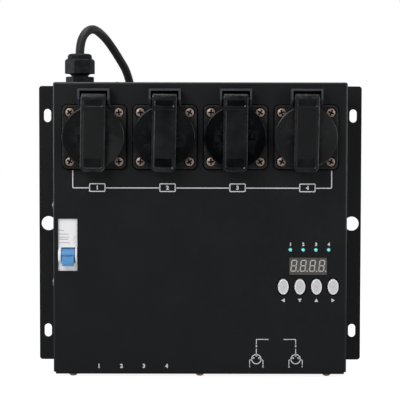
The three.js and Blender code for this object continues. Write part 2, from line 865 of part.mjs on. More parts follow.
function connectorBase() {
  const flange = plateZ(
    roundedRectangle(connectorWidth, connectorLength, connectorCorner),
    [-connectorFlange, 0],
  );
  const shell = barZ(connectorShell, [-connectorFlange / 2, connectorDepth], 0, 0, round);
  const heads = [-1, 1].map((side) =>
    barZ(
      connectorScrewHead,
      [-underFoot, -connectorFlange / 2],
      side * connectorScrewX,
      side * connectorScrewY,
      coarse,
    ),
  );
  return join(flange, shell, ...heads);
}

const pinAngles = [1, 5, 9].map((sixth) => (sixth * Math.PI) / 6);

function connectorIn() {
  const cup = barZ(maleCup, [-connectorFlange - overrun, maleCupDepth - connectorFlange], 0, 0, round);
  const pins = pinAngles.map((angle) => {
    const foot = maleCupDepth - connectorFlange;
    const at = [pinCircle * Math.cos(angle), pinCircle * Math.sin(angle)];
    return barZ(malePin, [foot - malePinLength, foot + seat], ...at, coarse);
  });
  return join(cut(connectorBase(), cup), ...pins);
}

function connectorOut() {
  const floor = femaleGrooveDepth - connectorFlange;
  const groove = cut(
    barZ(femaleInsert + femaleGroove, [-connectorFlange - overrun, floor], 0, 0, round),
    barZ(femaleInsert, [-connectorFlange - 2 * overrun, floor + overrun], 0, 0, round),
  );
  const bores = pinAngles.map((angle) => {
    const at = [pinCircle * Math.cos(angle), pinCircle * Math.sin(angle)];
    return barZ(femalePinHole, [-connectorFlange - overrun, femalePinDepth - connectorFlange], ...at, coarse);
  });
  const latchHole = block(
    about(0, latchWidth + 2 * seat),
    about(-latchSet, latchThick + 2 * seat),
    [-connectorFlange - overrun, overrun],
  );
  return cut(connectorBase(), groove, ...bores, latchHole);
}

function connectorLatch() {
  return block(
    about(0, latchWidth),
    [-latchSet - latchThick / 2, -latchSet + latchThick / 2],
    [-connectorFlange - latchProud, -latchTravel - seat],
  );
}

// The gland, built about the top wall's outer face.
const bodyFoot = glandSeal;
const bodyTop = bodyFoot + glandFlange;
const nutFoot = bodyTop + glandNeck;
const nutTop = nutFoot + glandNutHeight;
const glandTop = nutTop + glandDomeHeight;
const insertTop = nutFoot + glandInsert;

function glandBody() {
  const body = join(
    plateZ(hexagon(glandHalfFlats, Math.PI / 24), [bodyFoot, bodyTop]),
    barZ(glandCollar, [bodyTop - seat, insertTop], 0, 0),
    barZ(glandShank, [-sheet - glandShankLength, bodyFoot + seat], 0, 0),
  );
  return cut(body, barZ(glandBore, [-3 * overrun, glandTop + overrun], 0, 0));
}

function glandCapNut() {
  const crown = turned([
    [0, nutTop - seat],
    [glandDome, nutTop - seat],
    [glandDome, nutTop + glandDomeHeight / 2],
    [glandDome * crownWideShare, nutTop + glandDomeHeight * crownWideShare],
    [glandDome * crownSlantShare, glandTop],
    [0, glandTop],
  ]);
  const nut = join(plateZ(hexagon(glandHalfFlats + glandNutStep, Math.PI / 12), [nutFoot, nutTop]), crown);
  return cut(
    nut,
    barZ(glandCollar + seat, [nutFoot - overrun, insertTop + seat], 0, 0),
    barZ(glandMouth, [nutFoot, glandTop + overrun], 0, 0),
  );
}

function ring(outer, inner, [z0, z1]) {
  return cut(barZ(outer, [z0, z1], 0, 0), barZ(inner, [z0 - overrun, z1 + overrun], 0, 0));
}

function glandLocknut() {
  const span = [-sheet - locknutHeight, -sheet];
  const nut = plateZ(hexagon(glandHalfFlats), span);
  return cut(nut, barZ(glandShank + seat, [span[0] - overrun, overrun], 0, 0));
}

// Power electronics on the back plate
function powerBoard() {
  return block(about(powerX, powerWidth), [powerFront, powerBack], about(powerZ, powerHeight));
}

function transformer() {
  const front = powerFront - transformerDepth;
  const core = block(
    about(0, transformerWidth),
    [front + coreBand / 2, powerFront - coreBand / 2],
    about(0, transformerHeight),
  );
  const bobbin = block(
    about(0, transformerWidth - coreBand),
    [front, powerFront],
    about(0, transformerHeight - coreBand),
  );
  return join(core, bobbin);
}

function heatsink() {
  const base = block(about(0, sinkWidth), [powerFront - sinkDepth, powerFront], [0, sinkBase]);
  const gap = (sinkWidth - sinkFinThick) / (sinkFins - 1);
  const parts = [];
  for (let i = 0; i < sinkFins; i += 1) {
    const x = i * gap - sinkWidth / 2;
    parts.push(block([x, x + sinkFinThick], [powerFront - sinkDepth, powerFront], [-sinkHeight + sinkBase, sinkBase]));
  }
  for (const x of spread(0, sinkWidth / channelCount)) {
    parts.push(
      block(
        about(x, triacWidth),
        [powerFront - sinkDepth / 2 - triacHeight / 2, powerFront - sinkDepth / 2 + triacHeight / 2],
        [sinkBase - seat, sinkBase + triacThick],
      ),
    );
  }
  return join(base, ...parts);
}

function choke() {
  const torus = cut(
    barY(chokeRadius, [powerFront - chokeHeight, powerFront], 0, 0),
    barY(chokeBore, [powerFront - chokeHeight - overrun, powerFront + overrun], 0, 0),
  );
  return torus;
}

function terminalBlock() {
  const body = block(
    about(0, blockWidth),
    [powerFront - blockDepth, powerFront],
    about(0, blockHeight),
  );
  const mouths = spread(0, blockWidth / channelCount).map((x) =>
    barZ(blockMouth, [blockHeight / 4, blockHeight], x, powerFront - blockDepth / 2, small),
  );
  return cut(body, ...mouths);
}

// A tube of even section along a list of points, closed with flat ends.
function sweptTube(line, radius, sides) {
  const positions = [];
  const index = [];
  const up = new THREE.Vector3(0, 0, 1);
  line.forEach((point, i) => {
    const before = line[Math.max(i - 1, 0)];
    const after = line[Math.min(i + 1, line.length - 1)];
    const along = after.clone().sub(before).normalize();
    const aside = along.clone().cross(up).normalize();
    const above = aside.clone().cross(along);
    for (let k = 0; k < sides; k += 1) {
      const angle = (2 * Math.PI * (k + 1 / 2)) / sides;
      const corner = point
        .clone()
        .addScaledVector(aside, radius * Math.cos(angle))
        .addScaledVector(above, radius * Math.sin(angle));
      positions.push(...corner.toArray());
    }
  });
  for (let i = 0; i + 1 < line.length; i += 1) {
    for (let k = 0; k < sides; k += 1) {
      const next = (k + 1) % sides;
      const [a, b] = [i * sides + k, i * sides + next];
      index.push(a, b + sides, b, a, a + sides, b + sides);
    }
  }
  const last = (line.length - 1) * sides;
  for (let k = 1; k + 1 < sides; k += 1) {
    index.push(0, k, k + 1, last, last + k + 1, last + k);
  }
  const geometry = new THREE.BufferGeometry();
  geometry.setAttribute("position", new THREE.Float32BufferAttribute(positions, 3));
  geometry.setIndex(index);
  return solid(geometry);
}

// The coil lies on the floor behind the box: two layers, spiralling in below and out again above.
const coilStart = coilCentreX - coilLead;
const coilEnd = coilCentreX + coilTail;
const coilY = coilCentreY + coilOuter;

function coilLine() {
  const line = [];
  const floor = cordRadius;
  const layers = coilTurns / 2;
  for (let i = 0; i < coilLeadSteps; i += 1) {
    line.push(new THREE.Vector3(coilStart + (i * coilLead) / coilLeadSteps, coilY, floor));
  }
  const count = coilTurns * coilSteps;
  for (let i = 0; i <= count; i += 1) {
    const turn = i / coilSteps;
    const radius = coilOuter - coilPitch * (layers - Math.abs(layers - turn));
    const climbed = THREE.MathUtils.clamp(2 * (turn - layers) + 1 / 2, 0, 1);
    const angle = Math.PI / 2 - 2 * Math.PI * turn;
    line.push(
      new THREE.Vector3(
        coilCentreX + radius * Math.cos(angle),
        coilCentreY + radius * Math.sin(angle),
        floor + coilPitch * climbed,
      ),
    );
  }
  for (let i = 1; i <= coilTailSteps; i += 1) {
    line.push(new THREE.Vector3(coilCentreX + (i * coilTail) / coilTailSteps, coilY, floor + coilPitch));
  }
  return line;
}

// The least gap between stretches of the coil that are not neighbours along it.
function leastGap(line, diameter) {
  const curve = new THREE.CatmullRomCurve3(line);
  const count = line.length * 4;
  const points = curve.getSpacedPoints(count);
  const apart = Math.ceil((3 * diameter * count) / curve.getLength());
  let least = Infinity;
  for (let i = 0; i < points.length; i += 1) {
    for (let j = i + apart; j < points.length; j += 1) {
      least = Math.min(least, points[i].distanceTo(points[j]));
    }
  }
  return least - diameter;
}

// The free stretch: up out of the gland, over backwards and down behind the box to the floor.
const cordRoute = [
  [-96.2, 6.8, 253.4],
  [-96.1, 7.1, 255.8],
  [-95.7, 8.6, 260.2],
  [-94.9, 11.1, 264.7],
  [-93.2, 14.9, 268.9],
  [-90.7, 21.0, 272.4],
  [-88.0, 29.9, 274.2],
  [-85.6, 41.0, 274.1],
  [-83.0, 52.8, 272.4],
  [-79.6, 63.8, 269.0],
  [-76.0, 72.4, 264.1],
  [-72.4, 79.7, 258.5],
  [-69.1, 85.9, 252.9],
  [-64.6, 93.6, 244.7],
  [-61.5, 101.0, 234.6],
  [-59.6, 109.8, 219.8],
  [-58.8, 121.3, 196.3],
  [-59.0, 132.0, 170.8],
  [-60.2, 140.6, 146.6],
  [-61.4, 146.3, 122.4],
  [-62.0, 148.7, 98.0],
  [-62.0, 149.0, 66.0],
  [-62.0, 149.0, 34.0],
  [-59.7, 149.0, 22.0],
  [-53.2, 149.0, 12.3],
  [-43.5, 149.0, 5.8],
  [-32.0, 149.0, 3.5],
  [-20.0, 149.0, 3.5],
  [-7.3, 149.0, 3.5],
];

// The inner end of the lead, from the gland's mouth down to the terminal block.
const innerRoute = [
  [0, 0, glandTop],
  [0, 0, 0],
  [0, 0, -sheet - glandShankLength],
  [0, 0, -glandShankLength - 2 * overrun],
  [(blockX - glandX) / 3, (powerFront - blockDepth / 2 - midDepth) / 3, (blockZ - wallZ) / 2],
  [blockX - glandX, powerFront - blockDepth / 2 - midDepth, blockZ + blockHeight - wallZ],
  [blockX - glandX, powerFront - blockDepth / 2 - midDepth, blockZ + blockHeight / 2 + seat - wallZ],
];

function routedTube(route, radius, steps) {
  const path = new THREE.CatmullRomCurve3(route.map((point) => new THREE.Vector3(...point)));
  const section = new THREE.Shape();
  for (let k = 0; k < cordSides; k += 1) {
    const angle = (2 * Math.PI * k) / cordSides;
    const corner = [radius * Math.cos(angle), radius * Math.sin(angle)];
    if (k === 0) section.moveTo(...corner);
    else section.lineTo(...corner);
  }
  section.closePath();
  return solid(new THREE.ExtrudeGeometry(section, { steps, extrudePath: path, bevelEnabled: false }));
}

// An angled plug lying on its back: round body, face with two pins upwards, tapered boot at the side.
function mainsPlug() {
  const bootEnd = coilEnd + seat;
  const centre = bootEnd + plugBootLength + plugBody;
  const height = cordRadius + coilPitch;
  const body = turned([
    [0, 0],
    [plugBody - plugFace / 2, 0],
    [plugBody, plugFace / 2],
    [plugBody, plugBodyHeight - plugFace],
    [plugBody - plugFace / 4, plugBodyHeight],
    [0, plugBodyHeight],
  ]).translate([centre, coilY, 0]);
  const boot = new THREE.CylinderGeometry(plugBootRoot, plugBootEnd, plugBootLength + plugBody / 2, coarse);
  boot.rotateZ(-Math.PI / 2).translate(bootEnd + (plugBootLength + plugBody / 2) / 2, coilY, height);
  const pins = about(coilY, plugPinSpacing).map((y) =>
    barZ(plugPinRadius, [plugBodyHeight / 2, plugBodyHeight + plugPinLength], centre, y, coarse),
  );
  return join(body, solid(boot), ...pins);
}

// The box
place("base_chassis", baseChassis(), blackPowderCoat);
place("front_cover", frontCover(), blackPowderCoat);

// Sockets, lids and hinge pins
const socketSolid = socketBody();
const lidSolid = socketLid();
const lidPin = barX(pinRadius, about(0, hingeWidth), lidPinY, pinRise);
socketPlaces.forEach((x, i) => {
  place(`socket_body_${i + 1}`, socketSolid, blackPlastic, x, 0, socketZ);
  place(`socket_lid_${i + 1}`, lidSolid, glossBlack, x, 0, socketZ);
  place(`lid_pin_${i + 1}`, lidPin, steel, x, 0, socketZ);
});

// Breaker and its bracket
place("breaker_body", breakerBody(), whitePlastic, breakerX, 0, breakerZ);
place("breaker_toggle", breakerToggle(), bluePlastic, breakerX, toggleY, togglePivotZ);
place("breaker_bracket", breakerBracket(), steel, 0, 0, breakerZ);
const bracketScrew = domedScrew(bracketScrewHead, bracketScrewProud, bracketScrewShank, bracketScrewLength);
bracketScrewPlaces.forEach((z, i) => {
  const turnedOut = bracketScrew.rotate([0, -90, 0]);
  place(`bracket_screw_${i + 1}`, turnedOut, steel, left, bracketScrewSet, z);
});

// Control area
place("control_board", controlBoard(), boardGreen);
place(
  "display_module",
  block(about(boardX, displayWidth), [displaySink, boardSet], about(displayZ, displayHeight)),
  displayGrey,
);
const lampSolid = channelLamp();
const buttonSolid = pushButton();
lampPlaces.forEach((x, i) => {
  place(`channel_lamp_${i + 1}`, lampSolid, lampTeal, x, 0, lampZ);
});
buttonPlaces.forEach((x, i) => {
  place(`push_button_${i + 1}`, buttonSolid, silverPlastic, x, 0, buttonZ);
});

// Underside
const coverScrew = domedScrew(coverScrewHead, coverScrewProud, coverScrewShank, coverScrewLength);
coverScrewPlaces.forEach((x, i) => {
  place(`cover_screw_${i + 1}`, coverScrew.rotate([180, 0, 0]), bronzeSteel, x, coverScrewSet, foot);
});
const holderSolid = fuseHolder();
const carrierSolid = fuseCarrier();
fusePlaces.forEach((x, i) => {
  place(`fuse_holder_${i + 1}`, holderSolid, blackPlastic, x, midDepth, -wallZ);
  place(`fuse_carrier_${i + 1}`, carrierSolid, glossBlack, x, midDepth, -wallZ);
});
place("connector_in", connectorIn(), nickel, connectorPlaces.in, midDepth, -wallZ);
place("connector_out", connectorOut(), nickel, connectorPlaces.out, midDepth, -wallZ);
place("connector_latch", connectorLatch(), nickel, connectorPlaces.out, midDepth, -wallZ);

// Gland and earth screw on the top wall
place("gland_seal", ring(glandHalfFlats, glandShank + seat, [0, glandSeal]), blackPlastic, glandX, midDepth, wallZ);
place("gland_body", glandBody(), blackPlastic, glandX, midDepth, wallZ);
place("gland_cap_nut", glandCapNut(), blackPlastic, glandX, midDepth, wallZ);
place("gland_locknut", glandLocknut(), blackPlastic, glandX, midDepth, wallZ);
place(
  "earth_screw",
  domedScrew(earthHead, earthProud, earthShank, earthLength),
  steel,
  earthX,
  earthSet,
  wallZ,
);

// Power electronics
place("power_board", powerBoard(), boardGreen);
place("transformer", transformer(), coreSteel, transformerX, 0, transformerZ);
place("heatsink", heatsink(), aluminium, sinkX, 0, sinkZ);
place("terminal_block", terminalBlock(), whitePlastic, blockX, 0, blockZ);
const chokeSolid = choke();
chokePlaces.forEach((x, i) => {
  place(`choke_${i + 1}`, chokeSolid, copperWinding, x, 0, chokeZ);
});

// Mains lead
const coil = coilLine();
console.log(`coil: least gap ${leastGap(coil, 2 * cordRadius).toFixed(2)} mm`);
place("inner_lead", routedTube(innerRoute, cordRadius, cordSteps / 2), cordBlack, glandX, midDepth, wallZ);
place("mains_cord", routedTube(cordRoute, cordRadius, cordSteps), cordBlack, 0, 0, 0, pack);
place("cord_coil", sweptTube(coil, cordRadius, coilSides), cordBlack, 0, 0, 0, pack);
place("mains_plug", mainsPlug(), blackPlastic, 0, 0, 0, pack);

export default pack;
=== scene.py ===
"""Dressed model of a four-channel dimmer pack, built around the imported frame.

Shapes are worked in millimetres in the panel's frame: x to the right, y into the box from the
panel's outer face, z up from the panel's centre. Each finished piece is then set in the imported
frame, in metres, with its place in its mesh.
"""

import json
import logging
import math
from dataclasses import dataclass
from enum import Enum
from typing import Callable, Iterable, Optional, Sequence, Union

import bmesh
import bpy
from mathutils import Matrix, Vector

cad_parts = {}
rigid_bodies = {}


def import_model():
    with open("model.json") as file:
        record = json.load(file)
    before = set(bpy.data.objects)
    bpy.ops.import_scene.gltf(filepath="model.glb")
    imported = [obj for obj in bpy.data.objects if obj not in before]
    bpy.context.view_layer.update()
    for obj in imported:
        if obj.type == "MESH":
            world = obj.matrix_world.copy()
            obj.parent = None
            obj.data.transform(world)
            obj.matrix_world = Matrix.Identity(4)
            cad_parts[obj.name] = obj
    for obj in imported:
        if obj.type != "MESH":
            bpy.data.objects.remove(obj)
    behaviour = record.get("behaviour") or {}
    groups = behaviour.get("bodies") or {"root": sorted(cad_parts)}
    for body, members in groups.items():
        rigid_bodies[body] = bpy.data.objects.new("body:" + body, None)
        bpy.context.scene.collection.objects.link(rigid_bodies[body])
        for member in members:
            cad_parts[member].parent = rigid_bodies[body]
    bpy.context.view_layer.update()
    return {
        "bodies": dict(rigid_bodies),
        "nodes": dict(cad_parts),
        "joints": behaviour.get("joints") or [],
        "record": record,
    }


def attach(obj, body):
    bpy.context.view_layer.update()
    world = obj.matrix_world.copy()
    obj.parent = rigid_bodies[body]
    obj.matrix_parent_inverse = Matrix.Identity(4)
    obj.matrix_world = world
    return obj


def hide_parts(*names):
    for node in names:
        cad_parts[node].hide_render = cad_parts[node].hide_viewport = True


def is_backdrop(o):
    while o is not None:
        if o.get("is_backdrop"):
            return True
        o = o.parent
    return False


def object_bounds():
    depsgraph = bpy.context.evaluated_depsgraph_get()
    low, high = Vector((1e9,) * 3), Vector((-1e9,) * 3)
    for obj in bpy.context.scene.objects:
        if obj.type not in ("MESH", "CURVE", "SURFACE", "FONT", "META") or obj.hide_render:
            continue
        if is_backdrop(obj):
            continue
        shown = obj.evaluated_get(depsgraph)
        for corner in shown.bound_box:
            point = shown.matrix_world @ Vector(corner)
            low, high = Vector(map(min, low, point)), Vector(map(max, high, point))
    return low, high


LOG = logging.getLogger("dimmer_pack")
MM = 0.001
PANEL = Vector((0.0, -31.2, 115.9))
FLOOR = Vector((0.0, 0.0, 0.0))

Point = tuple[float, float]
Span = tuple[float, float]
Colour = tuple[float, float, float]


class Axis(Enum):
    """The direction that an outline is carried along or a profile is turned about."""

    X = "X"
    Y = "Y"
    Z = "Z"

    def at(self, u: float, v: float, w: float) -> Vector:
        """Give the point of outline coordinates u and v, at w along the axis."""
        return {
            Axis.X: Vector((w, u, v)),
            Axis.Y: Vector((u, w, v)),
            Axis.Z: Vector((u, v, w)),
        }[self]


class Operation(Enum):
    """What one body does to another."""

    JOIN = "UNION"
    CUT = "DIFFERENCE"
    KEEP = "INTERSECT"


def about(centre: float, size: float) -> Span:
    """Give the two limits of a length about its centre."""
    return (centre - size / 2, centre + size / 2)


def spread(centre: float, pitch: float, count: int = 4) -> list[float]:
    """Give the places of pieces in a row about its centre."""
    return [centre + (i - (count - 1) / 2) * pitch for i in range(count)]


def arc(radius: float, start: float, end: float, u: float, v: float, steps: int) -> list[Point]:
    """Give points along an arc.

    Args:
        radius: The arc's radius.
        start: The angle that it starts at, in degrees.
        end: The angle that it ends at, in degrees.
        u: Its centre, first coordinate.
        v: Its centre, second coordinate.
        steps: The number of steps along it.

    Returns:
        The points, both ends included.
    """
    angles = [math.radians(start + (end - start) * i / steps) for i in range(steps + 1)]
    return [(u + radius * math.cos(a), v + radius * math.sin(a)) for a in angles]


def rounded(width: float, height: float, radius: float, u: float = 0, v: float = 0, steps: int = 6) -> list[Point]:
    """Give the outline of a rectangle with rounded corners.

    Args:
        width: Its size along the first coordinate.
        height: Its size along the second coordinate.
        radius: The radius of its corners.
        u: Its centre, first coordinate.
        v: Its centre, second coordinate.
        steps: The number of steps in each corner.

    Returns:
        The outline's points, anticlockwise.
    """
    side, rise = width / 2 - radius, height / 2 - radius
    corners = ((side, rise, 0), (-side, rise, 90), (-side, -rise, 180), (side, -rise, 270))
    points: list[Point] = []
    for a, b, angle in corners:
        points += arc(radius, angle, angle + 90, u + a, v + b, steps)
    return points


def oval(width: float, height: float, u: float = 0, v: float = 0, steps: int = 48) -> list[Point]:
    """Give the outline of an oval of that width and height about u and v."""
    angles = [2 * math.pi * i / steps for i in range(steps)]
    return [(u + width / 2 * math.cos(a), v + height / 2 * math.sin(a)) for a in angles]


def hexagon(half_flats: float, turn: float = 0.0, corner: float = 0.8) -> list[Point]:
    """Give the outline of a hexagon with softened corners.

    Args:
        half_flats: Half its width across flats.
        turn: The angle of its first corner, in degrees.
        corner: The length cut from each side at a corner.

    Returns:
        The outline's points.
    """
    reach = half_flats / math.cos(math.pi / 6)
    tips = [Vector((reach, 0)) for _ in range(6)]
    for i, tip in enumerate(tips):
        tip.rotate(Matrix.Rotation(math.radians(turn + 60 * i), 2))
    points: list[Point] = []
    for i, tip in enumerate(tips):
        before, after = tips[i - 1] - tip, tips[(i + 1) % 6] - tip
        for way in (before, after):
            points.append(tuple(tip + way.normalized() * corner))
    return points


class Stock:
    """A closed body in millimetres that other bodies cut, join and soften."""

    def __init__(self, mesh: bpy.types.Mesh) -> None:
        """Hold the mesh of the body."""
        self.mesh = mesh

    @classmethod
    def _closed(cls, form: bmesh.types.BMesh) -> "Stock":
        """Turn a working form into a body whose faces point outwards."""
        bmesh.ops.recalc_face_normals(form, faces=form.faces)
        mesh = bpy.data.meshes.new("stock")
        form.to_mesh(mesh)
        form.free()
        return cls(mesh)

    @classmethod
    def loft(cls, sections: Sequence[tuple[Sequence[Point], float]], axis: Axis = Axis.Y) -> "Stock":
        """Carry a changing outline along an axis.

        Args:
            sections: Outlines of equal count, each with its place along the axis.
            axis: The axis.

        Returns:
            The body, closed with a flat face at both ends.
        """
        form = bmesh.new()
        rings = [[form.verts.new(axis.at(u, v, w)) for u, v in outline] for outline, w in sections]
        count = len(rings[0])
        for low, high in zip(rings, rings[1:]):
            for i in range(count):
                j = (i + 1) % count
                form.faces.new((low[i], low[j], high[j], high[i]))
        form.faces.new(rings[0])
        form.faces.new(rings[-1])
        return cls._closed(form)

    @classmethod
    def prism(cls, outline: Sequence[Point], span: Span, axis: Axis = Axis.Y) -> "Stock":
        """Carry one outline along an axis, between two limits."""
        return cls.loft([(outline, span[0]), (outline, span[1])], axis)

    @classmethod
    def band(cls, outer: Sequence[Point], inner: Sequence[Point], span: Span, axis: Axis = Axis.Y) -> "Stock":
        """Fill the space between two outlines of equal count, between two limits along an axis."""
        form = bmesh.new()
        loops = [[form.verts.new(axis.at(u, v, w)) for u, v in line] for w in span for line in (outer, inner)]
        count = len(outer)
        for low, high in ((0, 2), (2, 3), (3, 1), (1, 0)):
            for i in range(count):
                j = (i + 1) % count
                form.faces.new((loops[low][i], loops[low][j], loops[high][j], loops[high][i]))
        return cls._closed(form)

    @classmethod
    def block(cls, xs: Span, ys: Span, zs: Span) -> "Stock":
        """Fill the space between two limits on each axis."""
        outline = [(xs[0], zs[0]), (xs[1], zs[0]), (xs[1], zs[1]), (xs[0], zs[1])]
        return cls.prism(outline, ys)

    @classmethod
    def turned(
        cls,
        profile: Sequence[Point],
        axis: Axis = Axis.Y,
        centre: Point = (0.0, 0.0),
        sides: int = 48,
        hollow: bool = False,
    ) -> "Stock":
        """Turn a profile about an axis.

        Args:
            profile: Pairs of radius and place along the axis.
            axis: The axis.
            centre: Where the axis passes, in outline coordinates.
            sides: The number of sides of the round.
            hollow: Whether the profile is a closed loop beside the axis.

        Returns:
            The turned body.
        """
        form = bmesh.new()
        rings = []
        for radius, w in profile:
            if radius < 1e-6:
                rings.append([form.verts.new(axis.at(centre[0], centre[1], w))] * sides)
            else:
                line = oval(2 * radius, 2 * radius, *centre, steps=sides)
                rings.append([form.verts.new(axis.at(u, v, w)) for u, v in line])
        pairs = list(zip(rings, rings[1:]))
        if hollow:
            pairs.append((rings[-1], rings[0]))
        for low, high in pairs:
            for i in range(sides):
                j = (i + 1) % sides
                corners = list(dict.fromkeys((low[i], low[j], high[j], high[i])))
                if len(corners) > 2:
                    form.faces.new(corners)
        return cls._closed(form)

    @classmethod
    def bar(cls, radius: float, span: Span, axis: Axis, centre: Point, sides: int = 40) -> "Stock":
        """Make a round bar between two limits along an axis."""
        return cls.prism(oval(2 * radius, 2 * radius, *centre, steps=sides), span, axis)

    @classmethod
    def lettering(cls, text: str, height: float, x: float, z: float, weight: float = 0.0) -> "Stock":
        """Make a number or sign as thin ink on the panel.

        Args:
            text: The characters.
            height: Their height.
            x: Their middle, to the right.
            z: Their middle, upwards.
            weight: How much bolder they are, as a share of their height.

        Returns:
            The flat body.
        """
        curve = bpy.data.curves.new("lettering", "FONT")
        curve.body = text
        curve.size = 10
        curve.resolution_u = 4
        curve.offset = 10 * weight
        curve.extrude = 0.5
        holder = bpy.data.objects.new("lettering", curve)
        mesh = cls._settled(holder)
        bpy.data.curves.remove(curve)
        form = bmesh.new()
        form.from_mesh(mesh)
        bpy.data.meshes.remove(mesh)
        bmesh.ops.remove_doubles(form, verts=form.verts, dist=1e-3)
        low = Vector(min(v.co[k] for v in form.verts) for k in range(3))
        high = Vector(max(v.co[k] for v in form.verts) for k in range(3))
        scale = height / (high.y - low.y)
        middle = (low + high) / 2
        for vert in form.verts:
            flat = (vert.co - middle) * scale
            vert.co = Vector((x + flat.x, INK_FRONT if vert.co.z > 0 else INK_BACK, z + flat.y))
        return cls._closed(form)

    @classmethod
    def gather(cls, parts: Iterable["Stock"]) -> "Stock":
        """Put bodies that don't touch into one mesh."""
        form = bmesh.new()
        for part in parts:
            form.from_mesh(part.mesh)
        mesh = bpy.data.meshes.new("stock")
        form.to_mesh(mesh)
        form.free()
        return cls(mesh)

    @staticmethod
    def _settled(holder: bpy.types.Object) -> bpy.types.Mesh:
        """Give the mesh of an object with its modifiers done, and let the object go."""
        if holder.name not in bpy.context.scene.collection.objects:
            bpy.context.scene.collection.objects.link(holder)
        graph = bpy.context.evaluated_depsgraph_get()
        mesh = bpy.data.meshes.new_from_object(holder.evaluated_get(graph))
        bpy.data.objects.remove(holder)
        return mesh

    def _worked(self, operation: Operation, tools: Sequence["Stock"]) -> "Stock":
        """Work this body with others by one boolean operation."""
        holder = bpy.data.objects.new("stock", self.mesh)
        shelf = bpy.data.collections.new("tools")
        bpy.context.scene.collection.children.link(shelf)
        held = [bpy.data.objects.new("tool", tool.mesh) for tool in tools]
        for tool in held:
            shelf.objects.link(tool)
        step = holder.modifiers.new("step", "BOOLEAN")
        step.operation = operation.value
        step.solver = "EXACT"
        step.operand_type = "COLLECTION"
        step.collection = shelf
        form = bmesh.new()
        mesh = self._settled(holder)
        form.from_mesh(mesh)
        bpy.data.meshes.remove(mesh)
        for tool in held:
            bpy.data.objects.remove(tool)
        bpy.data.collections.remove(shelf)
        bmesh.ops.remove_doubles(form, verts=form.verts, dist=1e-4)
        bmesh.ops.dissolve_limit(form, angle_limit=math.radians(0.4), verts=form.verts, edges=form.edges)
        mesh = bpy.data.meshes.new("stock")
        form.to_mesh(mesh)
        form.free()
        return Stock(mesh)

    def cut(self, *tools: "Stock") -> "Stock":
        """Take the tools out of this body."""
        return self._worked(Operation.CUT, tools)

    def join(self, *others: "Stock") -> "Stock":
        """Make one body of this one and others."""
        return self._worked(Operation.JOIN, others)

    def keep(self, other: "Stock") -> "Stock":
        """Keep what this body shares with another."""
        return self._worked(Operation.KEEP, [other])

    def moved(self, x: float = 0.0, y: float = 0.0, z: float = 0.0) -> "Stock":
        """Give a copy set elsewhere."""
        mesh = self.mesh.copy()
        mesh.transform(Matrix.Translation((x, y, z)))
        return Stock(mesh)

    def swung(self, degrees: float, axis: Axis) -> "Stock":
        """Give a copy swung about an axis through the origin."""
        mesh = self.mesh.copy()
        mesh.transform(Matrix.Rotation(math.radians(degrees), 4, axis.value))
        return Stock(mesh)

    def rounded_edges(self, radius: float, steps: int, kept: Callable[[Vector], bool]) -> "Stock":
        """Round the edges that aren't wholly in a kept place.

        Args:
            radius: The radius.
            steps: The number of steps in each round.
            kept: Says of a corner whether it lies in the place where edges stay sharp.

        Returns:
            The rounded body.
        """
        form = bmesh.new()
        form.from_mesh(self.mesh)
        edges = [e for e in form.edges if not all(kept(v.co) for v in e.verts)]
        bmesh.ops.bevel(
            form, geom=edges, offset=radius, segments=steps, profile=0.5, affect="EDGES", clamp_overlap=False
        )
        return self._closed(form)

    def softened(self, width: float, steps: int = 2, angle: float = 32.0) -> "Stock":
        """Break every edge a little, as moulding and deburring do.

        Args:
            width: The width of the break.
            steps: The number of faces across it.
            angle: The least angle of an edge that is broken, in degrees.

        Returns:
            The softened body, shaded smooth.
        """
        mesh = self.mesh.copy()
        mesh.shade_smooth()
        holder = bpy.data.objects.new("stock", mesh)
        edges = holder.modifiers.new("edges", "BEVEL")
        edges.width = width
        edges.segments = steps
        edges.limit_method = "ANGLE"
        edges.angle_limit = math.radians(angle)
        edges.use_clamp_overlap = False
        normals = holder.modifiers.new("normals", "WEIGHTED_NORMAL")
        normals.keep_sharp = True
        return Stock(self._settled(holder))

    def shaded(self, angle: float = 35.0) -> "Stock":
        """Shade the body smooth up to an angle, in degrees."""
        self.mesh.shade_smooth()
        self.mesh.set_sharp_from_angle(angle=math.radians(angle))
        return self


INK_FRONT = -0.05
INK_BACK = 0.02


class Bench:
    """Adds nodes to one tree and joins them up."""

    def __init__(self, tree: bpy.types.NodeTree) -> None:
        """Hold the tree to work on."""
        self.tree = tree

    def node(self, kind: str, given: Optional[dict] = None, **settings: object) -> bpy.types.Node:
        """Add one node.

        Args:
            kind: The node's type.
            given: What goes into its inputs, by name or number: a plain value or another's output.
            settings: The node's own settings.

        Returns:
            The node.
        """
        node = self.tree.nodes.new(kind)
        for name, value in settings.items():
            setattr(node, name, value)
        for key, value in (given or {}).items():
            socket = node.inputs[key]
            if isinstance(value, bpy.types.NodeSocket):
                self.tree.links.new(value, socket)
            else:
                socket.default_value = value
        return node

    def out(self, kind: str, given: Optional[dict] = None, output: Union[str, int] = 0, **settings: object):
        """Add one node and give one of its outputs."""
        return self.node(kind, given, **settings).outputs[output]

    def sum(self, operation: str, first: object, second: object = 0.0, third: object = 0.0, clamp: bool = False):
        """Work out a number from up to three others and give the output."""
        node = self.tree.nodes.new("ShaderNodeMath")
        node.operation = operation
        node.use_clamp = clamp
        for socket, value in zip(node.inputs, (first, second, third)):
            if isinstance(value, bpy.types.NodeSocket):
                self.tree.links.new(value, socket)
            else:
                socket.default_value = value
        return node.outputs[0]

    def blend(self, share: object, first: object, second: object):
        """Mix two colours by a share and give the output."""
        node = self.tree.nodes.new("ShaderNodeMix")
        node.data_type = "RGBA"
        for key, value in ((0, share), (6, first), (7, second)):
            if isinstance(value, bpy.types.NodeSocket):
                self.tree.links.new(value, node.inputs[key])
            elif key:
                node.inputs[key].default_value = (*value, 1.0)
            else:
                node.inputs[key].default_value = value
        return node.outputs[2]


@dataclass(frozen=True)
class Socket:
    """One named input or output of a node group."""

    name: str
    kind: str = "Float"
    value: Optional[float] = None


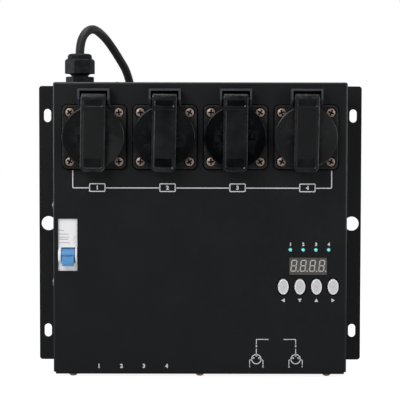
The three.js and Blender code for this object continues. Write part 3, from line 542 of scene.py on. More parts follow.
class Effects:
    """The surface effects that several finishes share, each a shader node group built once."""

    def __init__(self) -> None:
        """Build the groups."""
        self.grain = self._group("moulded_grain", [Socket("Scale", value=1500.0)], [Socket("Height")], self._grain)
        self.drift = self._group(
            "tone_drift",
            [Socket("Colour", "Color"), Socket("Scale", value=30.0), Socket("Amount", value=0.1)],
            [Socket("Colour", "Color"), Socket("Share")],
            self._drift,
        )
        self.wear = self._group(
            "edge_wear_and_painted_highlight",
            [Socket("Amount", value=0.2), Socket("Scale", value=180.0)],
            [Socket("Mask")],
            self._wear,
        )
        self.dust = self._group(
            "settled_dust",
            [Socket("Amount", value=0.1), Socket("Scale", value=60.0)],
            [Socket("Mask")],
            self._dust,
        )

    @staticmethod
    def _group(
        name: str, inputs: list[Socket], outputs: list[Socket], fill: Callable[[Bench, Sequence, object], dict]
    ) -> bpy.types.ShaderNodeTree:
        """Make one group.

        Args:
            name: Its name.
            inputs: Its inputs after the vector that all have.
            outputs: Its outputs.
            fill: Adds its nodes and gives the sockets for its outputs by name.

        Returns:
            The group's tree.
        """
        tree = bpy.data.node_groups.new(name, "ShaderNodeTree")
        for way, sockets in (("INPUT", [Socket("Vector", "Vector"), *inputs]), ("OUTPUT", outputs)):
            for socket in sockets:
                made = tree.interface.new_socket(socket.name, in_out=way, socket_type=f"NodeSocket{socket.kind}")
                if socket.value is not None:
                    made.default_value = socket.value
        bench = Bench(tree)
        given = bench.node("NodeGroupInput").outputs
        results = fill(bench, given)
        bench.node("NodeGroupOutput", results)
        return tree

    @staticmethod
    def _grain(bench: Bench, given: Sequence) -> dict:
        """Give the fine relief of a moulded or sprayed surface."""
        fine = bench.out(
            "ShaderNodeTexNoise", {"Vector": given["Vector"], "Scale": given["Scale"], "Detail": 3.0}, "Fac"
        )
        broad = bench.out(
            "ShaderNodeTexNoise",
            {"Vector": given["Vector"], "Scale": bench.sum("MULTIPLY", given["Scale"], 0.23), "Detail": 2.0},
            "Fac",
        )
        return {"Height": bench.sum("MULTIPLY_ADD", broad, 0.6, fine)}

    @staticmethod
    def _drift(bench: Bench, given: Sequence) -> dict:
        """Let a colour drift a little lighter and darker over the surface."""
        cloud = bench.out(
            "ShaderNodeTexNoise", {"Vector": given["Vector"], "Scale": given["Scale"], "Detail": 4.0}, "Fac"
        )
        share = bench.out("ShaderNodeMapRange", {"Value": cloud, "From Min": 0.3, "From Max": 0.7})
        lift = bench.sum("MULTIPLY_ADD", bench.sum("SUBTRACT", share, 0.5), given["Amount"], 1.0)
        scaled = bench.out(
            "ShaderNodeVectorMath", {0: given["Colour"], "Scale": lift}, operation="SCALE"
        )
        return {"Colour": scaled, "Share": share}

    @staticmethod
    def _wear(bench: Bench, given: Sequence) -> dict:
        """Find the edges to lighten: edges that handling rubs, and painted highlights on edges."""
        sharp = bench.out("ShaderNodeNewGeometry", None, "Pointiness")
        edge = bench.out("ShaderNodeMapRange", {"Value": sharp, "From Min": 0.515, "From Max": 0.6})
        patch = bench.out(
            "ShaderNodeTexNoise", {"Vector": given["Vector"], "Scale": given["Scale"], "Detail": 3.0}, "Fac"
        )
        broken = bench.out("ShaderNodeMapRange", {"Value": patch, "From Min": 0.42, "From Max": 0.62})
        both = bench.sum("MULTIPLY", edge, broken)
        return {"Mask": bench.sum("MULTIPLY", both, given["Amount"], clamp=True)}

    @staticmethod
    def _dust(bench: Bench, given: Sequence) -> dict:
        """Find where dust settles on what faces upwards."""
        normal = bench.out("ShaderNodeNewGeometry", None, "Normal")
        up = bench.out("ShaderNodeSeparateXYZ", {0: normal}, "Z")
        facing = bench.out("ShaderNodeMapRange", {"Value": up, "From Min": 0.2, "From Max": 0.95})
        patch = bench.out(
            "ShaderNodeTexNoise", {"Vector": given["Vector"], "Scale": given["Scale"], "Detail": 5.0}, "Fac"
        )
        spots = bench.out("ShaderNodeMapRange", {"Value": patch, "From Min": 0.35, "From Max": 0.75})
        both = bench.sum("MULTIPLY", facing, spots)
        return {"Mask": bench.sum("MULTIPLY", both, given["Amount"], clamp=True)}


@dataclass(frozen=True)
class Finish:
    """One surface finish: its record slot, colour, how it is textured, and how its edges are lightened for handling and
    as painted highlight.
    """

    slot: str
    colour: Colour
    roughness: float = 0.5
    metallic: float = 0.0
    specular: float = 0.5
    coat: float = 0.0
    coat_roughness: float = 0.1
    grain: float = 1500.0
    relief: float = 0.1
    depth: float = 0.00005
    drift: float = 0.12
    drift_scale: float = 30.0
    rough_drift: float = 0.08
    wear: float = 0.15
    worn: Colour = (0.1, 0.1, 0.11)
    dust: float = 0.05
    glow: float = 0.0


class Surface(Enum):
    """The finishes of the pack."""

    POWDER_COAT = Finish("powder_coat", (0.0056, 0.0062, 0.0074), 0.36, specular=0.42, grain=1100, relief=0.3,
                         drift=0.1, wear=0.15, worn=(0.03, 0.03, 0.033), dust=0.05)
    SOCKET_PLASTIC = Finish("socket_plastic", (0.0072, 0.0076, 0.0084), 0.38, specular=0.35, grain=2600, relief=0.12,
                            wear=0.3, worn=(0.05, 0.05, 0.055))
    # A lighter copy of the socket plastic: painted highlight over the hinge frames, whose narrow fronts catch the
    # light.
    HINGE_PLASTIC = Finish("socket_plastic", (0.0395, 0.04, 0.0465), 0.42, specular=0.2, grain=2600, relief=0.12,
                           wear=0.3, worn=(0.09, 0.09, 0.1))
    # Lid bars: bars 2 and 3 take a darker copy whose strong tone drift is painted reflection; the light edge colour on
    # every bar is a painted rim highlight.
    BAR_PLASTIC = Finish("lid_plastic", (0.0068, 0.0072, 0.008), 0.34, specular=0.4, grain=2200, relief=0.1,
                         wear=0.7, worn=(0.12, 0.12, 0.13))
    BAR_GLOSS = Finish("lid_plastic", (0.0062, 0.0068, 0.0074), 0.24, specular=0.38, grain=2200, relief=0.06,
                       drift=1.2, drift_scale=45, rough_drift=0.3, wear=0.4, worn=(0.12, 0.12, 0.13), coat=0.4)
    # The four lid finishes are darker, lighter and patchier copies of one plastic, as painted reflection; their bright
    # edge colour is a painted rim highlight.
    LID_PLASTIC = Finish("lid_plastic", (0.006, 0.0064, 0.007), 0.28, specular=0.2, grain=2200, relief=0.06,
                         drift=0.6, drift_scale=22, rough_drift=0.3, wear=0.45, worn=(0.2, 0.2, 0.21), coat=0.3)
    LID_MIXED = Finish("lid_plastic", (0.003, 0.0036, 0.004), 0.24, specular=0.16, grain=2200, relief=0.06,
                       drift=1.6, drift_scale=16, rough_drift=0.3, wear=0.45, worn=(0.2, 0.2, 0.21), coat=0.3)
    LID_GLOSS = Finish("lid_plastic", (0.0004, 0.001, 0.0016), 0.18, specular=0.06, grain=2200, relief=0.04,
                       drift=0.6, drift_scale=22, wear=0.45, worn=(0.2, 0.2, 0.21), coat=0.3)
    LID_PALE = Finish("lid_plastic", (0.0088, 0.0092, 0.01), 0.3, specular=0.24, grain=2200, relief=0.06,
                      drift=0.3, drift_scale=22, rough_drift=0.3, wear=0.45, worn=(0.2, 0.2, 0.21), coat=0.3)
    # Thin patches at the ends of the lids' bars: painted reflection, dim on bars 1 and 4 and dark on bars 2 and 3.
    PAD_PLAIN = Finish("lid_plastic", (0.0048, 0.0053, 0.006), 0.3, specular=0.25, grain=2200, relief=0.04,
                       drift=0.8, drift_scale=90, wear=0.0, dust=0.0)
    PAD_GLOSS = Finish("lid_plastic", (0.0024, 0.003, 0.0036), 0.2, specular=0.14, grain=2200, relief=0.02,
                       drift=1.6, drift_scale=90, wear=0.0, dust=0.0)
    ZINC = Finish("zinc_steel", (0.52, 0.53, 0.55), 0.34, 1.0, grain=900, relief=0.1, drift=0.25, wear=0.0)
    BRONZE = Finish("bronze_steel", (0.38, 0.285, 0.24), 0.46, 0.55, grain=1600, relief=0.1, drift=0.2, wear=0.0)
    DARK_STEEL = Finish("zinc_steel", (0.02, 0.02, 0.022), 0.45, 0.3, grain=900, wear=0.0)
    BREAKER_WHITE = Finish("breaker_white", (0.71, 0.71, 0.725), 0.36, grain=2400, relief=0.05, drift=0.04,
                           wear=0.0, dust=0.02)
    TOGGLE_BLUE = Finish("toggle_blue", (0.064, 0.232, 0.49), 0.32, grain=2200, relief=0.05, drift=0.06,
                         wear=0.15, worn=(0.35, 0.5, 0.75))
    BUTTON_SILVER = Finish("button_silver", (0.56, 0.55, 0.565), 0.3, 0.1, grain=2400, relief=0.05, drift=0.05,
                           wear=0.0, coat=0.3)
    # A lighter copy of the button silver for the rims: painted highlight.
    BUTTON_RIM = Finish("button_silver", (0.8, 0.79, 0.81), 0.25, 0.1, grain=2400, relief=0.03, drift=0.05,
                        wear=0.0, coat=0.3)
    LENS = Finish("lamp_lens", (0.2, 0.73, 0.7), 0.18, grain=1500, relief=0.02, drift=0.2, drift_scale=500,
                  wear=0.0, coat=0.5, glow=0.1)
    DISPLAY_FACE = Finish("display_face", (0.072, 0.067, 0.062), 0.4, grain=2400, relief=0.05, drift=0.08,
                          wear=0.0)
    DISPLAY_SEGMENT = Finish("display_face", (0.4, 0.385, 0.37), 0.35, grain=2400, relief=0.05, drift=0.06,
                             wear=0.0)
    DISPLAY_SHADE = Finish("display_face", (0.062, 0.058, 0.053), 0.35, grain=2400, relief=0.05, wear=0.0)
    BOARD_GREEN = Finish("circuit_board", (0.02, 0.12, 0.05), 0.4, grain=1800, relief=0.15, drift=0.2)
    FUSE_PLASTIC = Finish("fuse_plastic", (0.013, 0.013, 0.014), 0.35, grain=2200, relief=0.08, wear=0.25)
    NICKEL = Finish("connector_metal", (0.5, 0.5, 0.51), 0.3, 1.0, grain=1500, relief=0.08, drift=0.18, wear=0.0)
    CONTACT = Finish("connector_metal", (0.62, 0.52, 0.3), 0.28, 1.0, grain=1500, relief=0.05, wear=0.0)
    INSERT_PLASTIC = Finish("fuse_plastic", (0.018, 0.018, 0.02), 0.45, grain=2400, relief=0.05, wear=0.1)
    GLAND_PLASTIC = Finish("gland_plastic", (0.006, 0.0075, 0.009), 0.5, specular=0.1, grain=2000, relief=0.12,
                           wear=0.3, worn=(0.06, 0.065, 0.07), dust=0.1)
    COPPER = Finish("copper_winding", (0.5, 0.2, 0.08), 0.35, 1.0, grain=700, relief=0.4, drift=0.3, wear=0.0)
    CORE_STEEL = Finish("core_steel", (0.12, 0.12, 0.13), 0.5, 0.8, grain=900, relief=0.3, drift=0.3)
    ALUMINIUM = Finish("heatsink_metal", (0.6, 0.61, 0.63), 0.38, 1.0, grain=600, relief=0.15, drift=0.12)
    TERMINAL = Finish("terminal_plastic", (0.6, 0.6, 0.57), 0.45, grain=2000, relief=0.08, drift=0.06)
    CORD_RUBBER = Finish("cord_rubber", (0.0165, 0.0168, 0.019), 0.42, specular=0.16, grain=1700, relief=0.25,
                         drift=0.15, wear=0.0, dust=0.12)
    PLUG_RUBBER = Finish("cord_rubber", (0.014, 0.014, 0.0155), 0.5, grain=1700, relief=0.2, wear=0.1, dust=0.12)
    INK = Finish("powder_coat", (0.5, 0.505, 0.535), 0.5, grain=1800, relief=0.08, drift=0.12, wear=0.0, dust=0.0)
    FACE_INK = Finish("breaker_white", (0.36, 0.36, 0.39), 0.5, grain=1800, relief=0.03, drift=0.1, wear=0.0)
    # Flat black for painted shade: crosses and rings at the screws, outlines round the socket flanges, the backs of the
    # hinge frames and rings round the buttons.
    SLOT_BLACK = Finish("fuse_plastic", (0.002, 0.002, 0.0022), 0.7, specular=0.06, grain=1800, relief=0.05, wear=0.0,
                        dust=0.0)


class Workshop:
    """Makes the materials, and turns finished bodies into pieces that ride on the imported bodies."""

    def __init__(self) -> None:
        """Build the shared effects."""
        self.effects = Effects()
        self.made: dict[Surface, bpy.types.Material] = {}
        self.count = 0

    def material(self, surface: Surface) -> bpy.types.Material:
        """Give the material of a surface, made on first use."""
        if surface in self.made:
            return self.made[surface]
        finish = surface.value
        material = bpy.data.materials.new(surface.name.lower())
        material.use_nodes = True
        tree = material.node_tree
        tree.nodes.clear()
        bench = Bench(tree)
        place = bench.out("ShaderNodeTexCoord", None, "Object")

        def effect(group: bpy.types.NodeTree, given: dict) -> bpy.types.Node:
            """Place one shared effect."""
            node = bench.node("ShaderNodeGroup", None, node_tree=group)
            for key, value in {"Vector": place, **given}.items():
                if isinstance(value, bpy.types.NodeSocket):
                    tree.links.new(value, node.inputs[key])
                else:
                    node.inputs[key].default_value = value
            return node

        tone = effect(
            self.effects.drift,
            {"Colour": (*finish.colour, 1.0), "Scale": finish.drift_scale, "Amount": finish.drift},
        )
        colour = tone.outputs["Colour"]
        rough = bench.sum(
            "MULTIPLY_ADD", bench.sum("SUBTRACT", tone.outputs["Share"], 0.5), finish.rough_drift, finish.roughness
        )
        # Lighter edges: partly handling, partly painted highlight where rims and bends catch the light.
        if finish.wear:
            rubbed_and_lit = effect(self.effects.wear, {"Amount": finish.wear, "Scale": 220.0}).outputs["Mask"]
            colour = bench.blend(rubbed_and_lit, colour, finish.worn)
        if finish.dust:
            settled = effect(self.effects.dust, {"Amount": finish.dust, "Scale": 70.0}).outputs["Mask"]
            colour = bench.blend(settled, colour, (0.3, 0.29, 0.28))
            rough = bench.sum("MULTIPLY_ADD", settled, 0.4, rough)
        height = effect(self.effects.grain, {"Scale": finish.grain}).outputs["Height"]
        normal = bench.out(
            "ShaderNodeBump", {"Strength": finish.relief, "Distance": finish.depth, "Height": height}
        )
        shader = bench.node(
            "ShaderNodeBsdfPrincipled",
            {
                "Base Color": colour,
                "Roughness": rough,
                "Metallic": finish.metallic,
                "Specular IOR Level": finish.specular,
                "Coat Weight": finish.coat,
                "Coat Roughness": finish.coat_roughness,
                "Normal": normal,
            },
        )
        if finish.glow:
            tree.links.new(colour, shader.inputs["Emission Color"])
            shader.inputs["Emission Strength"].default_value = finish.glow
        bench.node("ShaderNodeOutputMaterial", {"Surface": shader.outputs["BSDF"]})
        material.diffuse_color = (*finish.colour, 1.0)
        self.made[surface] = material
        return material

    def dress(self, node: bpy.types.Object, surface: Surface) -> None:
        """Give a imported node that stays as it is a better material."""
        node.data.materials.clear()
        node.data.materials.append(self.material(surface))
        LOG.info("dressed %s as %s", node.name, surface.name.lower())

    def deliver(
        self,
        stock: Stock,
        name: str,
        surface: Surface,
        body: str = "box",
        stands_for: Sequence[str] = (),
        origin: Vector = PANEL,
    ) -> bpy.types.Object:
        """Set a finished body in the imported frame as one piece.

        Args:
            stock: The body.
            name: The piece's name.
            surface: Its finish.
            body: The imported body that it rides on.
            stands_for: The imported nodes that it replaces.
            origin: Where the body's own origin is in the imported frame, in millimetres.

        Returns:
            The piece.
        """
        mesh = stock.mesh.copy()
        mesh.transform(Matrix.Scale(MM, 4) @ Matrix.Translation(origin))
        mesh.name = name
        mesh.materials.clear()
        mesh.materials.append(self.material(surface))
        piece = bpy.data.objects.new(name, mesh)
        bpy.context.scene.collection.objects.link(piece)
        return self.ride(piece, surface, body, stands_for)

    def ride(
        self, piece: bpy.types.Object, surface: Surface, body: str = "box", stands_for: Sequence[str] = ()
    ) -> bpy.types.Object:
        """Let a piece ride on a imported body, and hide the nodes it stands for."""
        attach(piece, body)
        if stands_for:
            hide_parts(*stands_for)
        self.count += 1
        LOG.info("piece %s on %s, %s", piece.name, body, surface.name.lower())
        return piece


@dataclass(frozen=True)
class Place:
    """Where one repeated form goes, and which way its own z axis points."""

    x: float
    y: float
    z: float
    out: tuple[float, float, float] = (0.0, -1.0, 0.0)


class Repeater:
    """Sets one form at many places with Geometry Nodes, and gives the result as one plain body."""

    NAME = "form_at_places"

    def __init__(self) -> None:
        """Build the tree."""
        tree = bpy.data.node_groups.new(self.NAME, "GeometryNodeTree")
        sockets = (
            ("Places", "INPUT", "Geometry"),
            ("Form", "INPUT", "Object"),
            ("Size", "INPUT", "Float"),
            ("Spin", "INPUT", "Float"),
            ("Seed", "INPUT", "Int"),
            ("Finish", "INPUT", "Material"),
            ("Pieces", "OUTPUT", "Geometry"),
        )
        for name, way, kind in sockets:
            tree.interface.new_socket(name, in_out=way, socket_type=f"NodeSocket{kind}")
        bench = Bench(tree)
        given = bench.node("NodeGroupInput").outputs
        lean = bench.out("GeometryNodeInputNamedAttribute", {"Name": "turn"}, data_type="FLOAT_VECTOR")
        spin = bench.out(
            "FunctionNodeRandomValue", {2: 0.0, 3: given["Spin"], "Seed": given["Seed"]}, 1, data_type="FLOAT"
        )
        twist = bench.out("ShaderNodeCombineXYZ", {"Z": spin})
        turn = bench.out(
            "FunctionNodeRotateRotation",
            {
                "Rotation": bench.out("FunctionNodeEulerToRotation", {0: lean}),
                "Rotate By": bench.out("FunctionNodeEulerToRotation", {0: twist}),
            },
            rotation_space="LOCAL",
        )
        form = bench.out("GeometryNodeObjectInfo", {"Object": given["Form"]}, "Geometry")
        set_out = bench.out(
            "GeometryNodeInstanceOnPoints",
            {"Points": given["Places"], "Instance": form, "Rotation": turn, "Scale": given["Size"]},
        )
        plain = bench.out("GeometryNodeRealizeInstances", {"Geometry": set_out})
        dressed = bench.out("GeometryNodeSetMaterial", {"Geometry": plain, "Material": given["Finish"]})
        bench.node("NodeGroupOutput", {"Pieces": dressed})
        self.tree = tree

    def set_out(
        self, form: Stock, places: Sequence[Place], finish: bpy.types.Material, spin: float = 0.0, seed: int = 1
    ) -> Stock:
        """Set the form at the places.

        Args:
            form: The form, standing on its own origin with z outwards.
            places: Where it goes.
            finish: The material of the result.
            spin: The most that each is turned about its own axis, in radians.
            seed: The seed of those turns.

        Returns:
            All of them as one body.
        """
        mesh = bpy.data.meshes.new("places")
        mesh.from_pydata([(p.x, p.y, p.z) for p in places], [], [])
        turn = mesh.attributes.new("turn", "FLOAT_VECTOR", "POINT")
        for i, place in enumerate(places):
            turn.data[i].vector = Vector(place.out).to_track_quat("Z", "Y").to_euler()
        holder = bpy.data.objects.new("places", mesh)
        source = bpy.data.objects.new("form", form.mesh)
        bpy.context.scene.collection.objects.link(source)
        step = holder.modifiers.new("places", "NODES")
        step.node_group = self.tree
        given = {"Form": source, "Size": 1.0, "Spin": spin, "Seed": seed, "Finish": finish}
        for item in self.tree.interface.items_tree:
            if item.item_type == "SOCKET" and item.in_out == "INPUT" and item.name in given:
                step[item.identifier] = given[item.name]
        result = Stock(Stock._settled(holder))
        bpy.data.objects.remove(source)
        return result


@dataclass
class SubAssembly:
    """What every sub-assembly has at hand."""

    shop: Workshop
    repeater: Repeater

    def build(self) -> None:
        """Make the sub-assembly's pieces."""
        raise NotImplementedError


@dataclass
class Studio:
    """The camera of the photograph, the pale floor and the soft lights."""

    place: tuple[float, float, float] = (0.00006, -1.11174, 0.1901)
    pitch: float = -2.743
    yaw: float = 0.011
    roll: float = -0.098
    lens: float = 125.7
    ambient: float = 0.475
    front_gloss: float = 0.06

    def build(self) -> None:
        """Set up the camera, world, lights and floor."""
        self._camera()
        self._world()
        self._lamp("key_soft_box", (-0.9, -1.3, 1.1), 0.9, 12.9)
        self._lamp("fill_soft_box", (1.2, -1.2, 0.5), 0.8, 5.2)
        self._lamp("top_strip", (0.0, 0.2, 1.3), 0.9, 7.9)
        self._lamp("left_strip", (-1.2, 0.2, 0.3), 0.5, 4.5)
        self._lamp("right_strip", (1.2, 0.2, 0.3), 0.5, 3.0)
        self._lamp("near_soft_box", (-0.35, -0.45, 0.7), 0.35, 1.2)
        self._floor()

    def _camera(self) -> None:
        """Stand the camera where the photograph was taken."""
        data = bpy.data.cameras.new("photograph")
        data.lens = self.lens
        data.sensor_width = 36
        data.clip_start = 0.01
        camera = bpy.data.objects.new("photograph", data)
        turn = Matrix.Identity(3)
        for angle, axis in ((self.yaw, "Z"), (self.pitch, "X"), (self.roll, "Y"), (90.0, "X")):
            turn = turn @ Matrix.Rotation(math.radians(angle), 3, axis)
        camera.matrix_world = Matrix.Translation(self.place) @ turn.to_4x4()
        bpy.context.scene.collection.objects.link(camera)
        bpy.context.scene.camera = camera
        bpy.context.scene.view_settings.view_transform = "Standard"

    def _world(self) -> None:
        """Light the world evenly, white where it is seen and darker before the panel."""
        world = bpy.data.worlds.new("studio")
        world.use_nodes = True
        bpy.context.scene.world = world
        world.node_tree.nodes.clear()
        bench = Bench(world.node_tree)
        way = bench.out("ShaderNodeTexCoord", None, "Generated")
        depth = bench.out("ShaderNodeSeparateXYZ", {0: way}, "Y")
        behind = bench.out("ShaderNodeMapRange", {"Value": depth, "From Min": 0.75, "From Max": 0.98})
        mirrored = bench.sum("MULTIPLY_ADD", behind, 1.0 - self.front_gloss, self.front_gloss)
        path = bench.node("ShaderNodeLightPath").outputs
        soft = bench.sum("SUBTRACT", mirrored, self.ambient)
        lit = bench.sum("MULTIPLY_ADD", path["Is Glossy Ray"], soft, self.ambient)
        seen = bench.sum("MAXIMUM", path["Is Camera Ray"], path["Is Transmission Ray"])
        rest = bench.sum("SUBTRACT", 1.0, lit)
        level = bench.sum("MULTIPLY_ADD", seen, rest, lit)
        back = bench.out("ShaderNodeBackground", {"Color": (1, 1, 1, 1), "Strength": level})
        bench.node("ShaderNodeOutputWorld", {"Surface": back})

    @staticmethod
    def _lamp(name: str, place: tuple[float, float, float], size: float, power: float) -> None:
        """Hang one square soft box that faces the middle of the pack.

        Args:
            name: The lamp's name.
            place: Where it hangs, in metres.
            size: The length of its side, in metres.
            power: Its power in watts.
        """
        data = bpy.data.lights.new(name, "AREA")
        data.shape = "SQUARE"
        data.size = size
        data.energy = power
        lamp = bpy.data.objects.new(name, data)
        lamp.location = place
        aim = Vector((0.0, 0.0, 0.12)) - Vector(place)
        lamp.rotation_euler = aim.to_track_quat("-Z", "Y").to_euler()
        bpy.context.scene.collection.objects.link(lamp)

    @staticmethod
    def _floor() -> None:
        """Lay the pale floor that keeps the object's shadow."""
        mesh = bpy.data.meshes.new("floor")
        reach = 6.0
        mesh.from_pydata([(-reach, -reach, 0), (reach, -reach, 0), (reach, reach, 0), (-reach, reach, 0)], [],
                         [(0, 1, 2, 3)])
        floor = bpy.data.objects.new("floor", mesh)
        bpy.context.scene.collection.objects.link(floor)
        material = bpy.data.materials.new("pale_floor")
        material.use_nodes = True
        material.node_tree.nodes.clear()
        bench = Bench(material.node_tree)
        path = bench.node("ShaderNodeLightPath").outputs
        pale = bench.out("ShaderNodeBsdfDiffuse", {"Color": (0.86, 0.86, 0.86, 1)})
        bright = bench.out("ShaderNodeEmission", {"Color": (1, 1, 1, 1), "Strength": 1.15})
        seen = bench.sum("MAXIMUM", path["Is Camera Ray"], path["Is Transmission Ray"])
        share = bench.sum("MULTIPLY", seen, 0.8)
        mixed = bench.out("ShaderNodeMixShader", {0: share, 1: pale, 2: bright})
        mirrored = bench.out("ShaderNodeEmission", {"Color": (1, 1, 1, 1), "Strength": 0.12})
        hidden = bench.sum("MULTIPLY", path["Is Glossy Ray"], 0.9)
        laid = bench.out("ShaderNodeMixShader", {0: hidden, 1: mixed, 2: mirrored})
        glow = bench.out("ShaderNodeEmission", {"Color": (1, 1, 1, 1), "Strength": 0.85})
        under = bench.sum("MULTIPLY", path["Is Diffuse Ray"], 0.4)
        filled = bench.out("ShaderNodeMixShader", {0: under, 1: laid, 2: glow})
        below = bench.node("ShaderNodeNewGeometry").outputs["Backfacing"]
        clear = bench.out("ShaderNodeBsdfTransparent")
        seen = bench.out("ShaderNodeMixShader", {0: below, 1: filled, 2: clear})
        bench.node("ShaderNodeOutputMaterial", {"Surface": seen})
        mesh.materials.append(material)
        floor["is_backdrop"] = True


def smooth_line(points: Sequence[Sequence[float]], steps: int) -> list[Vector]:
    """Run a smooth line through points, with even steps between each pair.

    Args:
        points: The points to pass.
        steps: The number of steps from one to the next.

    Returns:
        The line's points.
    """
    line = [Vector(p) for p in points]
    ends = [2 * line[0] - line[1], *line, 2 * line[-1] - line[-2]]
    result: list[Vector] = []
    for i in range(1, len(ends) - 2):
        p0, p1, p2, p3 = ends[i - 1 : i + 3]
        t0, t1, t2 = (max((b - a).length, 1e-9) ** 0.5 for a, b in ((p0, p1), (p1, p2), (p2, p3)))
        m1 = ((p1 - p0) / t0 - (p2 - p0) / (t0 + t1) + (p2 - p1) / t1) * t1
        m2 = ((p2 - p1) / t1 - (p3 - p1) / (t1 + t2) + (p3 - p2) / t2) * t1
        for k in range(steps):
            s = k / steps
            result.append(
                (2 * s**3 - 3 * s**2 + 1) * p1
                + (s**3 - 2 * s**2 + s) * m1
                + (3 * s**2 - 2 * s**3) * p2
                + (s**3 - s**2) * m2
            )
    result.append(line[-1])
    return result


@dataclass
class MainsLead(SubAssembly):
    """The mains lead from the gland, over the back and down to its coil and plug on the floor."""

    radius: float = 3.5
    length: float = 1.419
    exit: tuple[float, float, float] = (-96.2, 6.8, 253.0)
    coil_outer: float = 46.6
    coil_pitch: float = 7.6
    coil_y: float = 102.4
    turns: int = 4
    boot_start: float = 21.3
    boot_length: float = 28.0
    plug_x: float = 69.3
    plug_radius: float = 20.0
    plug_height: float = 22.0
    pin_top: float = 41.0

    ROUTE = (
        (-96.2, 6.8, 253.0), (-96.1, 7.1, 255.8), (-95.7, 8.6, 260.2), (-94.9, 11.1, 264.7),
        (-93.2, 14.9, 268.9), (-90.7, 21.0, 272.4), (-88.0, 29.9, 274.2), (-85.6, 41.0, 274.1),
        (-83.0, 52.8, 272.4), (-79.6, 63.8, 269.0), (-76.0, 72.4, 264.1), (-72.4, 79.7, 258.5),
        (-69.1, 85.9, 252.9), (-64.6, 93.6, 244.7), (-61.5, 101.0, 234.6), (-59.6, 109.8, 219.8),
        (-58.8, 121.3, 196.3), (-59.0, 132.0, 170.8), (-60.2, 140.6, 146.6), (-61.4, 146.3, 122.4),
        (-62.0, 148.7, 98.0), (-62.0, 149.0, 66.0), (-62.0, 149.0, 34.0), (-59.7, 149.0, 22.0),
        (-53.2, 149.0, 12.3), (-43.5, 149.0, 6.0), (-32.0, 149.0, 3.8), (-20.0, 149.0, 3.5),
    )

    def build(self) -> None:
        """Make the cord, its plug and the plug's pins."""
        plug = self._plug()
        boot = self._boot()
        pins = self._pins()
        cord = self._cord()

    def _line(self) -> list[Vector]:
        """Give the cord's middle line: the free stretch, the coil and the tail to the plug."""
        centre = Vector((0.0, self.coil_y, self.radius))
        points = [Vector(p) for p in self.ROUTE]
        points += [Vector((x, self.coil_y + self.coil_outer, self.radius)) for x in (-10.5, -3.5)]
        layers = self.turns / 2
        steps = 24
        for i in range(self.turns * steps + 1):
            turn = i / steps
            reach = self.coil_outer - self.coil_pitch * (layers - abs(layers - turn))
            climb = min(max(2 * (turn - layers) + 0.5, 0.0), 1.0)
            angle = math.pi / 2 - 2 * math.pi * turn
            way = Vector((reach * math.cos(angle), reach * math.sin(angle), self.coil_pitch * climb))
            points.append(centre + way)
        tail = (7.0, 14.0, self.boot_start + 2)
        points += [Vector((x, self.coil_y + self.coil_outer, self.radius + self.coil_pitch)) for x in tail]
        return smooth_line(points, 4)

    def _cord(self) -> bpy.types.Object:
        """Make the cord as one curve with its round section."""
        line = self._line()
        curve = bpy.data.curves.new("mains_lead", "CURVE")
        curve.dimensions = "3D"
        curve.bevel_depth = self.radius * MM
        curve.bevel_resolution = 5
        curve.use_fill_caps = True
        spline = curve.splines.new("POLY")
        spline.points.add(len(line) - 1)
        for point, place in zip(spline.points, line):
            point.co = (*(place * MM), 1.0)
        cord = bpy.data.objects.new("mains_lead", curve)
        curve.materials.append(self.shop.material(Surface.CORD_RUBBER))
        bpy.context.scene.collection.objects.link(cord)
        LOG.info("mains lead is %.4f m long", sum((b - a).length for a, b in zip(line, line[1:])) * MM)
        return self.shop.ride(cord, Surface.CORD_RUBBER, "box", ["mains_cord", "cord_coil"])

    def _middle(self) -> tuple[float, float, float]:
        """Give the height and depth that the plug's boot runs at."""
        return (self.plug_x, self.coil_y + self.coil_outer, self.radius + self.coil_pitch)

    def _plug(self) -> bpy.types.Object:
        """Make the plug's moulded body, lying on its back with ribbed grips at the sides."""
        x, y, _ = self._middle()
        r, h = self.plug_radius, self.plug_height
        body = Stock.turned(
            [(0, 0), (r - 3, 0), (r - 1.2, 0.6), (r - 0.3, 2), (r, 4), (r, h - 5), (r - 0.6, h - 4.6),
             (r - 0.8, h - 0.8), (r - 1.6, h), (0, h)],
            Axis.Z, (x, y), 64,
        )
        slots = [Stock.block((x - 6, x + 6), about(y + side * r, 4.4), (h - 9, h + 1)) for side in (-1, 1)]
        flats = [Stock.block((x - 9, x + 9), about(y + side * r, 3.2), (2.5, h - 10.5)) for side in (-1, 1)]
        body = body.cut(*slots, *flats).softened(0.5)
        return self.shop.deliver(body, "plug_body", Surface.PLUG_RUBBER, "box", ["mains_plug"], FLOOR)

    def _boot(self) -> bpy.types.Object:
        """Make the tapered boot with its ring ribs, where the cord enters the plug."""
        x, y, z = self._middle()
        start = self.boot_start
        end = x - self.plug_radius + 4
        profile = [(0.0, start), (4.2, start)]
        profile.append((4.8, start + 0.6))
        profile.append((7.0, start + self.boot_length))
        profile.append((7.0, end))
        profile.append((0.0, end))
        core = Stock.turned(profile, Axis.X, (y, z), 40)
        rib = Stock.turned([(4.2, -1.0), (7.4, -1.0), (7.4, 1.0), (4.2, 1.0)], Axis.Z, sides=32, hollow=True)
        places = []
        rings = []
        for i in range(6):
            along = start + 4 + 3.8 * i
            size = (5.2 + 0.33 * i) / 7.4
            rings.append((along, size))
        for along, size in rings:
            ring = rib.mesh.copy()
            ring.transform(Matrix.Scale(size, 4))
            places.append(
                self.repeater.set_out(
                    Stock(ring), [Place(along, y, z, (1.0, 0.0, 0.0))], self.shop.material(Surface.PLUG_RUBBER)
                )
            )
        boot = core.join(*places).softened(0.25)
        return self.shop.deliver(boot, "plug_boot", Surface.PLUG_RUBBER, "box", (), FLOOR)

